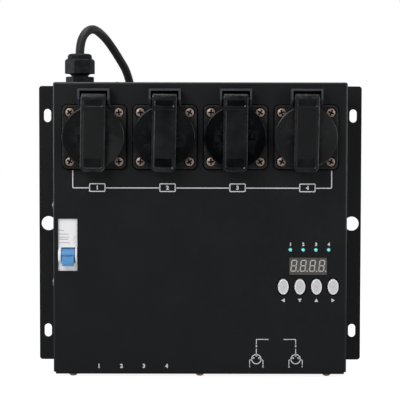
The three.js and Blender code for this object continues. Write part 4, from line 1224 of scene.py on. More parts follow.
    def _pins(self) -> bpy.types.Object:
        """Make the two round pins that stand up out of the plug's face."""
        x, y, _ = self._middle()
        top = self.pin_top
        r = 2.4
        pin = Stock.turned(
            [(0, self.plug_height - 2), (r, self.plug_height - 2), (r, top - 2), (r - 0.5, top - 0.7), (r - 1.3, top),
             (0, top)],
            Axis.Z, (0, 0), 24,
        )
        pair = Stock.gather([pin.moved(x, y + side * 9.5) for side in (-1, 1)]).shaded(40)
        return self.shop.deliver(pair, "plug_pins", Surface.NICKEL, "box", (), FLOOR)


@dataclass
class Enclosure(SubAssembly):
    """The folded front cover and the chassis with its back plate and ears."""

    half_width: float = 114.0
    half_height: float = 113.5
    depth: float = 76.0
    sheet: float = 1.2
    bend: float = 1.8
    lip: float = 14.0
    relief: float = 1.7
    sockets: tuple[float, ...] = (-81.75, -27.25, 27.25, 81.75)
    socket_z: float = 71.0
    board_x: float = 84.0
    wall_z: float = 112.1
    wall_half: float = 112.6
    middle: float = 38.0

    def build(self) -> None:
        """Make the cover and the chassis."""
        self.shop.deliver(self._cover(), "front_cover_sheet", Surface.POWDER_COAT, "box", ["front_cover"])
        self.shop.deliver(self._chassis(), "base_chassis_sheet", Surface.POWDER_COAT, "box", ["base_chassis"])

    def _cover(self) -> Stock:
        """Fold the cover and open it for everything that it carries."""
        w, h = self.half_width, self.half_height
        back = self.depth - self.sheet - 0.3
        inner_w, inner_h = w - self.sheet, h - self.sheet
        outer = Stock.block((-w, w), (0, back), (-h, h)).rounded_edges(
            self.bend, 5, lambda corner: corner.y > back - 0.01
        )
        cover = outer.cut(
            Stock.block((-inner_w, inner_w), (self.sheet, self.depth), (-inner_h, inner_h)),
            Stock.block((-inner_w, inner_w), (self.lip, self.depth), (-h - 5, h + 5)),
            *[Stock.block(about(side * w, 2 * self.relief), (-5, self.depth), about(-h, 2 * self.relief))
              for side in (-1, 1)],
        )
        studs = [
            Stock.bar(2.4, (0.6, 8.0), Axis.Y, (self.board_x + side * 24.4, z), 20)
            for side in (-1, 1)
            for z in (-57.4, -8.6)
        ]
        cover = cover.join(*studs)
        through = (-5.0, 1.5)
        holes = [Stock.bar(21.5, through, Axis.Y, (x, self.socket_z), 64) for x in self.sockets]
        holes += [
            Stock.bar(1.9, through, Axis.Y, (x + sx, self.socket_z + sz), 16)
            for x in self.sockets
            for sx in (-19, 19)
            for sz in (-19, 19)
        ]
        holes.append(Stock.prism(rounded(14.9, 40.5, 0.5, -102.75, -12.6), through))
        holes.append(Stock.prism(rounded(30.2, 14.4, 0.4, self.board_x, -29.0), through))
        holes += [Stock.bar(1.8, through, Axis.Y, (x, -16.2), 24) for x in ControlArea.LAMPS]
        holes += [Stock.prism(oval(10.2, 14.2, x, -44.9), through) for x in ControlArea.BUTTONS]
        holes += [Stock.bar(1.8, about(-h, 10), Axis.Z, (x, 7.5), 20) for x in (-99.2, 0, 99.2)]
        holes += [Stock.bar(1.8, about(-w, 10), Axis.X, (10, z), 20) for z in (17.5, -42.5)]
        return cover.cut(*holes).softened(0.22)

    def _chassis(self) -> Stock:
        """Fold the chassis and open its ears, top and bottom."""
        y0 = self.depth - self.sheet
        plate = Stock.prism(rounded(266.4, 226.9, 2.5, 0, -0.55), (y0, self.depth))
        walls = [
            Stock.block((-self.wall_half, self.wall_half), (1.4, y0 + 0.6),
                        about(side * (self.wall_z - self.sheet / 2), self.sheet))
            for side in (-1, 1)
        ]
        nuts = [Stock.bar(3.2, (-111.5, -107.9), Axis.Z, (x, 7.5), 24) for x in (-99.2, 0, 99.2)]
        posts = [Stock.bar(2.8, (68.8, y0 + 0.6), Axis.Y, (x, z), 24) for x in (-82, 48) for z in (-66, 36)]
        body = plate.join(*walls, *nuts, *posts)
        through = (y0 - 5, self.depth + 5)
        holes = []
        for side in (-1, 1):
            for z in (88.5, -89.6):
                holes.append(Stock.prism(rounded(5.9, 10.8, 2.949, side * 126.2, z, 10), through))
            holes.append(Stock.bar(5.8, through, Axis.Y, (side * 125.6, -0.55), 48))
        holes += [Stock.bar(1.8, about(-self.wall_z, 15), Axis.Z, (x, 7.5), 20) for x in (-99.2, 0, 99.2)]
        holes += [Stock.bar(6.5, about(-self.wall_z, 10), Axis.Z, (x, self.middle), 40) for x in Underside.FUSES]
        holes += [Stock.bar(12.1, about(-self.wall_z, 10), Axis.Z, (x, self.middle), 48) for x in (74.6, 43.8)]
        holes.append(Stock.bar(8.1, about(self.wall_z, 10), Axis.Z, (-96.2, self.middle), 40))
        holes.append(Stock.bar(1.9, about(self.wall_z, 10), Axis.Z, (-67.0, 48.0), 20))
        return body.cut(*holes).softened(0.22)


@dataclass
class SocketRow(SubAssembly):
    """Four panel sockets with their contacts, earth clips, screws, hinge frames, hinge pins and lids."""

    z: float = 71.0
    flange: float = 49.2
    # Width of the black plate under each flange, whose rim is a painted shadow outline.
    seal: float = 50.9
    corner: float = 4.0
    thick: float = 3.0
    collar: float = 22.0
    collar_front: float = -5.4
    housing: float = 21.2
    cup: float = 19.7
    floor: float = 12.1
    hinge_width: float = 24.4
    hinge_wall: float = 1.6
    hinge_front: float = -12.2
    hinge_foot: float = 24.5
    hinge_top: float = 37.0
    pin_y: float = -9.8
    pin_z: float = 29.5
    pin_radius: float = 1.2
    screw_reach: float = 18.95
    screw_floor: float = -1.9
    lid_radius: float = 24.2
    lid_back: float = -6.0
    lid_front: float = -9.4
    dish: float = 2.0
    bar_width: float = 19.2
    bar_front: float = -13.6
    bar_foot: float = -26.8
    knuckle: float = 3.8

    PLACES = (-81.75, -27.25, 27.25, 81.75)
    HANG = (0.8, 1.2, 0.6, 0.9)
    # The lids and bars take darker and lighter copies of one plastic, as painted reflection.
    FINISHES = (Surface.LID_PLASTIC, Surface.LID_MIXED, Surface.LID_GLOSS, Surface.LID_PALE)
    BARS = (Surface.BAR_PLASTIC, Surface.BAR_GLOSS, Surface.BAR_GLOSS, Surface.BAR_PLASTIC)
    PADS = (Surface.PAD_PLAIN, Surface.PAD_GLOSS, Surface.PAD_GLOSS, Surface.PAD_PLAIN)

    def build(self) -> None:
        """Make the row of sockets."""
        body = self._body()
        hinge = self._hinge()
        contacts = self._contacts()
        clips = self._clips()
        parts = self._lid()
        pin = self._pin()
        for i, x in enumerate(self.PLACES, 1):
            self.shop.deliver(body.moved(x, 0, self.z), f"socket_{i}", Surface.SOCKET_PLASTIC, "box",
                              [f"socket_body_{i}"])
            self.shop.deliver(hinge.moved(x, 0, self.z), f"hinge_frame_{i}", Surface.HINGE_PLASTIC)
            self.shop.deliver(contacts.moved(x, 0, self.z), f"socket_contacts_{i}", Surface.CONTACT)
            self.shop.deliver(clips.moved(x, 0, self.z), f"socket_earth_{i}", Surface.NICKEL)
            self.shop.deliver(pin.moved(x, 0, self.z), f"hinge_pin_{i}", Surface.DARK_STEEL, "box", [f"lid_pin_{i}"])
            flap, grip, reflection_patches = (
                part.swung(self.HANG[i - 1], Axis.Y).moved(x, 0, self.z + self.pin_z) for part in parts
            )
            self.shop.deliver(flap, f"lid_{i}_flap", self.FINISHES[i - 1], f"lid_{i}", [f"socket_lid_{i}"])
            self.shop.deliver(grip, f"lid_{i}_bar", self.BARS[i - 1], f"lid_{i}")
            self.shop.deliver(reflection_patches, f"lid_{i}_pads", self.PADS[i - 1], f"lid_{i}")
        self._screws()
        self._seals()

    def _body(self) -> Stock:
        """Make one socket body: flange, collar and cup."""
        f, t = self.flange, self.thick
        flange = Stock.loft([
            (rounded(f, f, self.corner), -0.5),
            (rounded(f, f, self.corner), -t + 0.35),
            (rounded(f - 0.3, f - 0.3, self.corner), -t + 0.1),
            (rounded(f - 0.7, f - 0.7, self.corner), -t),
        ])
        front = self.collar_front
        core = Stock.turned([
            (0, front), (self.collar - 0.6, front), (self.collar, front + 0.6), (self.collar, -t / 2),
            (self.housing, -t / 2), (self.housing, 21.4), (self.housing - 0.6, 22), (0, 22),
        ], sides=64)
        body = flange.join(core)
        tools = [Stock.turned([(0, front - 5), (self.cup, front - 5), (self.cup, self.floor - 1.2),
                               (self.cup - 1.2, self.floor), (0, self.floor)], sides=64)]
        tools += [Stock.bar(2.6, (self.floor - 1, self.floor + 8), Axis.Y, (x, 0), 24) for x in (-9.5, 9.5)]
        for x, z in self._corners():
            tools.append(Stock.bar(1.9, (-t - 5, 5), Axis.Y, (x, z), 16))
            tools.append(Stock.bar(4.15, (-t - 5, self.screw_floor), Axis.Y, (x, z), 32))
        body = body.cut(*tools)
        guides = [
            Stock.block((side * self.cup - 1.1, side * self.cup + 1.1), (front + 1.5, self.floor + 0.5), about(0, 5.2))
            for side in (-1, 1)
        ]
        boss = Stock.bar(3.2, (self.floor - 1.6, self.floor + 0.5), Axis.Y, (0, 0), 24)
        return body.join(*guides, boss).softened(0.25)

    def _corners(self) -> list[Point]:
        """Give the places of one flange's screws about its centre."""
        reach = self.screw_reach
        return [(x, z) for x in (-reach, reach) for z in (-reach, reach)]

    def _hinge(self) -> Stock:
        """Make one hinge frame: two slanted cheeks, a top and a back, bored for the pin."""
        front, foot, top, wall = self.hinge_front, self.hinge_foot, self.hinge_top, self.hinge_wall
        side = [(0, foot), (-5.5, foot), (front, foot + 4.5), (front, top), (0, top)]
        pocket = Stock.block(about(0, self.hinge_width - 2 * wall), (front - 5, -1.5), (foot - 5, top - wall))
        bore = Stock.bar(self.pin_radius + 0.2, about(0, 50), Axis.X, (self.pin_y, self.pin_z), 20)
        return Stock.prism(side, about(0, self.hinge_width), Axis.X).cut(pocket, bore).softened(0.35)

    def _contacts(self) -> Stock:
        """Make the two contact sleeves behind the cup's floor."""
        sleeve = Stock.turned([
            (2.1, self.floor + 0.8), (2.5, self.floor + 0.8), (2.5, self.floor + 7.5), (2.1, self.floor + 7.5)
        ], hollow=True, sides=24)
        return Stock.gather([sleeve.moved(x) for x in (-9.5, 9.5)]).shaded(40)

    def _clips(self) -> Stock:
        """Make the two sprung earth clips at the top and bottom of the cup, and the centre screw."""
        r = self.cup
        profile = [(-2.0, r + 0.2), (8.5, r + 0.2), (8.5, r - 0.6), (6.0, r - 2.6), (2.5, r - 3.2), (-0.6, r - 1.2),
                   (-2.0, r - 0.4)]
        inner = [(-1.2, r - 0.4), (2.6, r - 2.5), (5.7, r - 2.0), (7.6, r - 0.4)]
        strip = Stock.prism(profile, about(0, 4.4), Axis.X).cut(Stock.prism(inner, about(0, 6), Axis.X))
        low = strip.swung(180, Axis.Y)
        head = Stock.turned([(0, self.floor - 2.5), (1.9, self.floor - 2.5), (2.3, self.floor - 2.1),
                             (2.3, self.floor - 1.5), (0, self.floor - 1.5)], sides=24)
        head = head.cut(Stock.block(about(0, 6), (self.floor - 3, self.floor - 2), about(0, 0.7)))
        return Stock.gather([strip.softened(0.15), low.softened(0.15), head.shaded(35)])

    def _pin(self) -> Stock:
        """Make one hinge pin with chamfered ends."""
        half, r = self.hinge_width / 2, self.pin_radius
        profile = [(0, -half), (r - 0.3, -half), (r, -half + 0.3), (r, half - 0.3), (r - 0.3, half), (0, half)]
        return Stock.turned(profile, Axis.X, (self.pin_y, self.pin_z), 24).shaded(35)

    def _lid(self) -> tuple[Stock, Stock, Stock]:
        """Make one lid about its pin: a dished disc, the bar that hinges and opens it, and thin patches on the bar's
        recess as painted reflection.
        """
        r, back, front = self.lid_radius, self.lid_back, self.lid_front
        disc = Stock.turned([
            (0, back + 0.3), (r - 3, back + 0.3), (r - 2.4, back), (r - 0.3, back), (r, back - 0.3),
            (r, front + 0.9), (r - 0.12, front + 0.45), (r - 0.4, front + 0.12), (r - 0.8, front),
            (r - 1.1, front + 0.02), (r - 1.7, front + 0.1), (8.5, front + self.dish), (0, front + self.dish),
        ], sides=128)
        tab, lift = self.bar_front + 6.0, self.pin_z + 0.3
        side = [
            (self.pin_y - self.knuckle, self.bar_foot),
            (tab, self.bar_foot),
            (tab, -r / 2),
            (front + 2.7, -r / 2),
            (front + 2.7, r - 1.9),
            (self.pin_y + self.knuckle, r - 1.9),
            (self.pin_y + self.knuckle, lift),
            *arc(self.knuckle, 0, 180, self.pin_y, lift, 12)[1:],
        ]
        half, foot, high = self.bar_width / 2, self.bar_foot, self.pin_z + 10
        outline = [(-half, foot + 2.7), (-half + 2.7, foot), (half - 2.7, foot), (half, foot + 2.7), (half, high),
                   (-half, high)]
        bar = Stock.prism(side, about(0, self.bar_width), Axis.X).keep(Stock.prism(outline, (-20, 5)))
        sunk, reflection_patches = [], []
        for middle, high_, patch_height, patch_z in ((-1.2, 46.0, 6.4, -19.6), (26.1, 6.4, 4.2, 26.1)):
            sunk.append(Stock.loft([
                (rounded(15.8, high_, 2.0, 0, middle), self.bar_front - 0.1),
                (rounded(14.2, high_ - 1.6, 1.2, 0, middle), self.bar_front + 0.4),
            ]))
            # Painted reflection: a thin patch on the recess floor at each end of the bar.
            reflection_patches.append(Stock.prism(rounded(13.2, patch_height, 1.0, 0, patch_z), about(self.bar_front + 0.4, 0.08)))
        bore = Stock.bar(self.pin_radius + 0.3, about(0, 40), Axis.X, (self.pin_y, self.pin_z), 24)
        bar = bar.softened(0.9, 3).cut(*sunk, bore).softened(0.12, 2, 20)
        room = Stock.block(about(0, self.bar_width - 0.2), (front - 5, front + self.dish - 0.05), (-r - 5, r + 5))
        disc = disc.cut(room).softened(0.3)
        return tuple(part.moved(0, 0, -self.pin_z) for part in (disc, bar, Stock.gather(reflection_patches)))

    def _screws(self) -> None:
        """Set the sixteen cross-head screws into the flanges, with black crosses in their recesses and black rings
        round their heads as painted shade.
        """
        spots = [(x + u, self.z + v) for x in self.PLACES for u, v in self._corners()]
        places = [Place(x, self.screw_floor, z) for x, z in spots]
        rise, arm, width = 1.4, 3.45 * 0.66, 3.45 * 0.36
        # Painted shade: a black cross sunk in each head's recess, and a black ring on each counterbore's floor.
        cross = Stock.block(about(0, 2 * arm), about(0, width), (rise * 0.7, rise - 0.29))
        cross = cross.join(cross.swung(90, Axis.Z))
        ring = Stock.turned([(3.5, 0.0), (4.1, 0.0), (4.1, 0.05), (3.5, 0.05)], Axis.Z, hollow=True, sides=32)
        forms = (
            ("socket_screws", cross_head_screw(3.45, rise, 1.7, 4.0, 0.66, 0.36), Surface.BRONZE),
            ("screw_recesses", Stock.gather([cross, ring]), Surface.SLOT_BLACK),
        )
        for name, form, surface in forms:
            row = self.repeater.set_out(form, places, self.shop.material(surface), math.pi / 2, 7)
            self.shop.deliver(row, name, surface)

    def _seals(self) -> None:
        """Lay black sheets as painted shadow and shade: a plate whose rim outlines each flange, and the backs of the
        hinge frames.
        """
        width = self.seal
        plate = Stock.band(rounded(width, width, 4.6), rounded(44.6, 44.6, 22.0), (-0.5, 0.0))
        plate = plate.cut(*[Stock.bar(1.9, (-5, 5), Axis.Y, spot, 16) for spot in self._corners()])
        inside = self.hinge_width - 2 * self.hinge_wall
        back = Stock.block(about(0, inside), (-1.7, -1.5), (self.hinge_foot + 0.2, self.hinge_top - self.hinge_wall))
        one = Stock.gather([plate, back])
        self.shop.deliver(Stock.gather([one.moved(x, 0, self.z) for x in self.PLACES]), "socket_seals",
                          Surface.SLOT_BLACK)


def cross_head_screw(
    head: float, rise: float, shank: float, length: float, reach: float = 0.62, broad: float = 0.2
) -> Stock:
    """Make a screw with a low domed head and a cross recess.

    Args:
        head: The head's radius.
        rise: The head's height.
        shank: The shank's radius.
        length: The shank's length.
        reach: The cross's arm, as a share of the head's radius.
        broad: The cross's width, as a share of the head's radius.

    Returns:
        The screw, standing on its own origin with its head along z.
    """
    dome = [(head, 0.0), (head, rise * 0.35)]
    dome += [(head * math.cos(a), rise * (0.35 + 0.65 * math.sin(a))) for a in (0.35, 0.7, 1.05)]
    body = Stock.turned([(0, -length), (shank, -length), (shank, 0), *dome, (0, rise)], Axis.Z, sides=32)
    arm, width = head * reach, head * broad
    low = rise * 0.25
    wing = [(-arm, rise + 0.5), (arm, rise + 0.5), (arm, rise * 0.7), (arm * 0.35, low), (-arm * 0.35, low),
            (-arm, rise * 0.7)]
    across = Stock.prism(wing, (-width / 2, width / 2), Axis.Y)
    return body.cut(across, across.swung(90, Axis.Z)).softened(0.12)


@dataclass
class Breaker(SubAssembly):
    """The circuit breaker behind its window, its toggle and its bracket's screws."""

    x: float = -102.7
    z: float = -12.5
    front: float = 1.5
    width: float = 17.4
    nose_height: float = 45.0
    height: float = 80.0
    pivot_y: float = 3.8
    pivot_z: float = -20.7
    barrel: float = 5.3
    toggle_x: float = -102.35
    toggle_width: float = 10.2

    LEVER = ((0, 2.0), (-5.2, -0.9), (-6.4, -1.1), (-7.4, -5.9), (-6.9, -7.4), (-6.0, -8.3), (-4.6, -7.6), (0, -3.0))

    def build(self) -> None:
        """Make the breaker's pieces."""
        self.shop.deliver(self._case(), "breaker_case", Surface.BREAKER_WHITE, "box", ["breaker_body"])
        self.shop.deliver(self._toggle(), "breaker_lever", Surface.TOGGLE_BLUE, "toggle", ["breaker_toggle"])
        self.shop.deliver(self._marks(), "breaker_marks", Surface.FACE_INK)
        screw = cross_head_screw(3.4, 1.5, 1.5, 2.3)
        places = [Place(-114.0, 10.0, z, (-1.0, 0.0, 0.0)) for z in (17.5, -42.5)]
        screws = self.repeater.set_out(screw, places, self.shop.material(Surface.ZINC), math.pi / 2, 3)
        self.shop.deliver(screws, "bracket_screws", Surface.ZINC, "box", ["bracket_screw_1", "bracket_screw_2"])

    def _case(self) -> Stock:
        """Make the breaker's case with the slot and cheeks of its toggle."""
        nose = Stock.block(about(self.x, self.width), (self.front, 10.8), about(self.z, self.nose_height))
        deep = Stock.block(about(self.x, self.width), (10.5, 61.5), about(self.z, self.height))
        case = nose.join(deep)
        gap = self.toggle_width / 2 + 0.3
        slot = Stock.bar(self.barrel + 1.0, about(self.toggle_x, 2 * gap), Axis.X, (self.pivot_y, self.pivot_z), 48)
        case = case.cut(slot)
        cheek_line = [(self.front + 1.5, self.pivot_z - 7.6)]
        cheek_line += arc(7.6, 250, 110, self.pivot_y + 1.6, self.pivot_z, 16)
        cheek_line += [(self.front + 1.5, self.pivot_z + 7.6)]
        spans = ((self.x - 7.35, self.toggle_x - gap), (self.toggle_x + gap, self.x + 7.35))
        cheeks = [Stock.prism(cheek_line, span, Axis.X).softened(0.5) for span in spans]
        pin = Stock.bar(1.5, about(self.toggle_x, self.toggle_width + 3.2), Axis.X, (self.pivot_y, self.pivot_z), 20)
        return case.join(*cheeks, pin).softened(0.25)

    def _toggle(self) -> Stock:
        """Make the toggle: a barrel on the pivot with a stepped lever that ends in a lip."""
        drum = Stock.bar(self.barrel, about(0, self.toggle_width), Axis.X, (0, 0), 48)
        lever = Stock.prism(self.LEVER, about(0, self.toggle_width - 1.1), Axis.X).softened(0.35)
        bore = Stock.bar(1.8, about(0, 20), Axis.X, (0, 0), 20)
        groove = Stock.bar(0.4, about(0, 20), Axis.X, (-5.3, -0.5), 12)
        body = drum.join(lever).cut(bore, groove).softened(0.2)
        return body.moved(self.toggle_x, self.pivot_y, self.pivot_z)

    def _marks(self) -> Stock:
        """Print plain generic marks on the breaker's face."""
        ink = (self.front - 0.04, self.front + 0.05)
        rows = ((-1.4, 4.2), (-4.3, 7.6), (-6.8, 8.0), (-8.4, 7.4), (-11.0, 8.6))
        left, right = self.x - 7.1, self.x + 5.4
        marks = [Stock.block((left, left + w), ink, about(z, 0.6)) for z, w in rows]
        marks += [Stock.block(about(right, 0.4), ink, span) for span in ((-7.4, -5.4), (-11.6, -9.6))]
        marks.append(Stock.block(about(right - 0.9, 0.4), ink, (-9.4, -7.6)))
        marks.append(Stock.block(about(right, 1.4), ink, about(-7.6, 0.3)))
        return Stock.gather(marks)


@dataclass
class ControlArea(SubAssembly):
    """Channel lamps, the four-digit display and the push buttons."""

    lamp_z: float = -16.2
    lamp_radius: float = 1.42
    display_x: float = 84.0
    display_z: float = -29.0
    display_width: float = 29.6
    display_height: float = 13.7
    display_front: float = 0.4
    button_z: float = -44.9
    button_width: float = 8.3
    button_height: float = 12.1
    button_front: float = -1.8
    digit_height: float = 9.3
    digit_width: float = 5.35
    digit_pitch: float = 7.23
    stroke: float = 0.86
    slant: float = 0.12

    LAMPS = (70.1, 80.0, 89.9, 99.8)
    BUTTONS = (64.65, 77.55, 90.45, 103.35)

    def build(self) -> None:
        """Make the control area's pieces."""
        lamp = self._lamp()
        rim, face = self._button()
        for i, (x, bx) in enumerate(zip(self.LAMPS, self.BUTTONS), 1):
            self.shop.deliver(lamp.moved(x, 0, self.lamp_z), f"lamp_{i}", Surface.LENS, "box",
                              [f"channel_lamp_{i}"])
            self.shop.deliver(rim.moved(bx, 0, self.button_z), f"button_{i}_cap", Surface.BUTTON_RIM,
                              f"button_{i}", [f"push_button_{i}"])
            self.shop.deliver(face.moved(bx, 0, self.button_z), f"button_{i}_face", Surface.BUTTON_SILVER,
                              f"button_{i}")
        self.shop.deliver(self._gaskets(), "button_gaskets", Surface.SLOT_BLACK)
        self.shop.deliver(self._display(), "display_window", Surface.DISPLAY_FACE, "box", ["display_module"])
        digits, shades = self._digits()
        self.shop.deliver(digits, "display_digits", Surface.DISPLAY_SEGMENT)
        self.shop.deliver(shades, "display_shades", Surface.DISPLAY_SHADE)

    def _lamp(self) -> Stock:
        """Make one lamp's lens with its domed end."""
        r = self.lamp_radius
        dome = [(r * math.cos(a), 0.5 - 1.5 * math.sin(a)) for a in (0.0, 0.3, 0.6, 0.9, 1.2)]
        profile = [(0, 7.7), (r, 7.7), *dome, (0, -1.0)]
        return Stock.turned(profile, sides=24).shaded(50)

    def _button(self) -> tuple[Stock, Stock]:
        """Make one oval button: the rim with its flange and stem, and the sunk face with a dimple."""
        w, h, front = self.button_width, self.button_height, self.button_front
        steps = ((0.0, 2.5), (0.0, front + 1.0), (0.2, front + 0.5), (0.6, front + 0.2), (1.1, front + 0.05),
                 (1.5, front), (2.0, front + 0.1), (2.6, front + 0.28), (5.0, front + 0.24), (6.9, front + 0.22))
        cap = Stock.loft([(oval(w - s, h - s), y) for s, y in steps])
        flange = Stock.prism(oval(w + 2.6, h + 2.6), (1.5, 2.5))
        stem = Stock.bar(1.8, (2.0, 3.9), Axis.Y, (0, 0), 20)
        inside = Stock.prism(oval(w - 2.0, h - 2.0), (front - 2, -0.2))
        dimple = Stock.bar(0.55, (front - 1, front + 0.6), Axis.Y, (0, 0), 20)
        rim = cap.join(flange, stem).cut(inside).softened(0.15, 2, 50)
        return rim, cap.keep(inside).cut(dimple).shaded(35)

    def _gaskets(self) -> Stock:
        """Make the black rings behind the panel that close the gaps round the buttons: painted shade in those gaps."""
        w, h = self.button_width, self.button_height
        ring = Stock.band(oval(w + 4.4, h + 4.4), oval(w + 0.3, h + 0.3), (1.25, 1.42))
        return Stock.gather([ring.moved(x, 0, self.button_z) for x in self.BUTTONS])

    def _display(self) -> Stock:
        """Make the display's face with its stepped border."""
        w, h, front = self.display_width, self.display_height, self.display_front
        x, z = self.display_x, self.display_z
        block = Stock.loft([
            (rounded(w, h, 0.4, x, z), 7.7),
            (rounded(w, h, 0.4, x, z), front + 0.3),
            (rounded(w - 0.5, h - 0.5, 0.4, x, z), front),
        ])
        return block.cut(
            Stock.block(about(x, w - 1.6), (front - 1, front + 0.12), about(z + 0.3, self.digit_height + 1.6))
        ).shaded(30)

    def _segment(self, u: float, v: float, length: float, upright: bool) -> list[Point]:
        """Give the pointed outline of one segment, leaning as the digit leans."""
        half, end = self.stroke / 2, length / 2
        flat = [(-end, 0), (-end + half, half), (end - half, half), (end, 0), (end - half, -half), (-end + half, -half)]
        turned = [(b, a) if upright else (a, b) for a, b in flat]
        return [(u + a + (v + b) * self.slant, v + b) for a, b in turned]

    def _digits(self) -> tuple[Stock, Stock]:
        """Make the four seven-segment digits with their points, and the darker fields inside their loops."""
        front = self.display_front + 0.12
        ink = (front - 0.1, front + 0.05)
        w, h = self.digit_width / 2 - self.stroke / 2 - 0.35, self.digit_height / 2 - self.stroke / 2
        long, tall = 2 * w - 0.25, h - 0.25
        parts, shades = [], []
        inside, rise = w - self.stroke / 2 - 0.1, h / 2 - self.stroke / 2 - 0.1
        for x in spread(self.display_x - 0.34, self.digit_pitch):
            for middle in (-h / 2, h / 2):
                field = [(a, middle + b) for a, b in ((-inside, -rise), (inside, -rise), (inside, rise), (-inside, rise))]
                line = [(x + a + b * self.slant, self.display_z + 0.4 + b) for a, b in field]
                shades.append(Stock.prism(line, (front - 0.04, front + 0.05)))
            lines = [self._segment(0, k * h, long, False) for k in (-1, 0, 1)]
            lines += [self._segment(sx * w, sz * h / 2, tall, True) for sx in (-1, 1) for sz in (-1, 1)]
            lines.append(oval(1.2, 1.2, w + 1.25, -h, 16))
            for line in lines:
                moved = [(x + u, self.display_z + 0.4 + v) for u, v in line]
                parts.append(Stock.prism(moved, ink))
        return Stock.gather(parts), Stock.gather(shades)


@dataclass
class Silkscreen(SubAssembly):
    """The pale print on the panel: bracket lines, numbered boxes, plain numbers and pictograms."""

    line_z: float = 31.7
    turn_up: float = 45.2
    left: float = -98.7
    right: float = 101.7
    stroke: float = 0.9
    boxes: tuple[float, ...] = (-79.7, -25.3, 28.9, 83.0)
    box_z: float = 31.95
    box_width: float = 11.9
    box_height: float = 5.9
    ink: Span = (INK_FRONT, INK_BACK)

    def build(self) -> None:
        """Print the panel."""
        parts = self._bracket() + self._boxes() + self._numbers() + self._button_marks() + self._pictograms()
        self.shop.deliver(Stock.gather(parts), "panel_print", Surface.INK)

    def _line(self, points: Sequence[Point], width: float) -> Stock:
        """Print one line of even width through points."""
        line = [Vector(p) for p in points]
        sides: tuple[list[Point], list[Point]] = ([], [])
        for i, here in enumerate(line):
            before = line[max(i - 1, 0)]
            after = line[min(i + 1, len(line) - 1)]
            first = (here - before).normalized() if i else (after - here).normalized()
            second = (after - here).normalized() if i + 1 < len(line) else first
            across = (first + second).normalized().orthogonal()
            spare = max(across.dot(first.orthogonal()), 0.3)
            sides[0].append(tuple(here + across * width / 2 / spare))
            sides[1].append(tuple(here - across * width / 2 / spare))
        return Stock.prism(sides[0] + sides[1][::-1], self.ink)

    def _ring(self, outline: Callable[[float], list[Point]], width: float) -> Stock:
        """Print a closed line; outline gives its shape grown by a length."""
        return Stock.band(outline(width / 2), outline(-width / 2), self.ink)

    def _bracket(self) -> list[Stock]:
        """Print the long line that joins the channels, broken at the boxes."""
        turn = 0.8
        ends = [self.left, *[x + side * self.box_width / 2 for x in self.boxes for side in (-1, 1)], self.right]
        first = [(self.left, self.turn_up), *arc(turn, 180, 270, self.left + turn, self.line_z + turn, 5),
                 (ends[1], self.line_z)]
        last = [(ends[-2], self.line_z), *arc(turn, 270, 360, self.right - turn, self.line_z + turn, 5),
                (self.right, self.turn_up)]
        lines = [first, *[[(a, self.line_z), (b, self.line_z)] for a, b in zip(ends[2:-2:2], ends[3:-2:2])], last]
        return [self._line(line, self.stroke * 0.85) for line in lines]

    def _boxes(self) -> list[Stock]:
        """Print the rounded boxes with the channels' numbers."""
        parts = []
        for i, x in enumerate(self.boxes, 1):
            parts.append(self._ring(
                lambda grow, x=x: rounded(self.box_width + 2 * grow, self.box_height + 2 * grow, 0.6 + grow, x,
                                          self.box_z, 5),
                self.stroke * 0.85,
            ))
            parts.append(Stock.lettering(str(i), 3.3, x, self.box_z, 0.05))
        return parts

    def _numbers(self) -> list[Stock]:
        """Print the numbers over the lamps and over the fuses."""
        parts = [Stock.lettering(str(i), 2.7, x, -11.8, 0.05) for i, x in enumerate(ControlArea.LAMPS, 1)]
        return parts + [
            Stock.lettering(str(i), 3.3, x, -107.0, 0.05) for i, x in enumerate((-78.6, -61.1, -43.6, -25.9), 1)
        ]

    def _button_marks(self) -> list[Stock]:
        """Print a plain arrow under each button."""
        size = 1.5
        base = [(-size, -size * 0.8), (size, -size * 0.8), (0, size)]
        turns = (90, 180, 0, 270)
        parts = []
        for x, angle in zip(ControlArea.BUTTONS, turns):
            a = math.radians(angle)
            outline = [
                (x + u * math.cos(a) - v * math.sin(a), -55.5 + u * math.sin(a) + v * math.cos(a)) for u, v in base
            ]
            parts.append(Stock.prism(outline, self.ink))
        return parts

    def _pictograms(self) -> list[Stock]:
        """Print the two connector pictograms with their leads, and the bracket line over them."""
        parts = []
        z = -101.55
        for x, numbers in ((43.9, "12"), (74.5, "21")):
            parts.append(self._ring(lambda grow, x=x: oval(7.3 + 2 * grow, 7.3 + 2 * grow, x, z, 40), 0.66))
            for dx, dz in ((0, 2.7), (-2.05, 0.85), (2.05, 0.85)):
                parts.append(Stock.prism(oval(1.4, 1.4, x + dx, z + dz, 16), self.ink))
            parts.append(self._line([(x, z + 2.7), (x, z + 8.1)], 0.6))
            for side, number in zip((-1, 1), numbers):
                lead = [(x + side * 2.05, z + 0.85), (x + side * 5.2, z - 0.9), (x + side * 5.2, z - 4.4)]
                parts.append(self._line(lead, 0.55))
                parts.append(Stock.lettering(number, 1.7, x + side * 5.15, z - 5.7, 0.05))
            parts.append(Stock.lettering("3", 1.9, x, z + 10.3, 0.05))
        top, foot = -86.1, -89.8
        for side, x in ((1, 43.9), (-1, 74.5)):
            parts.append(self._line([(x, foot), (x, top), (x + side * 9.45, top)], 0.58))
        return parts


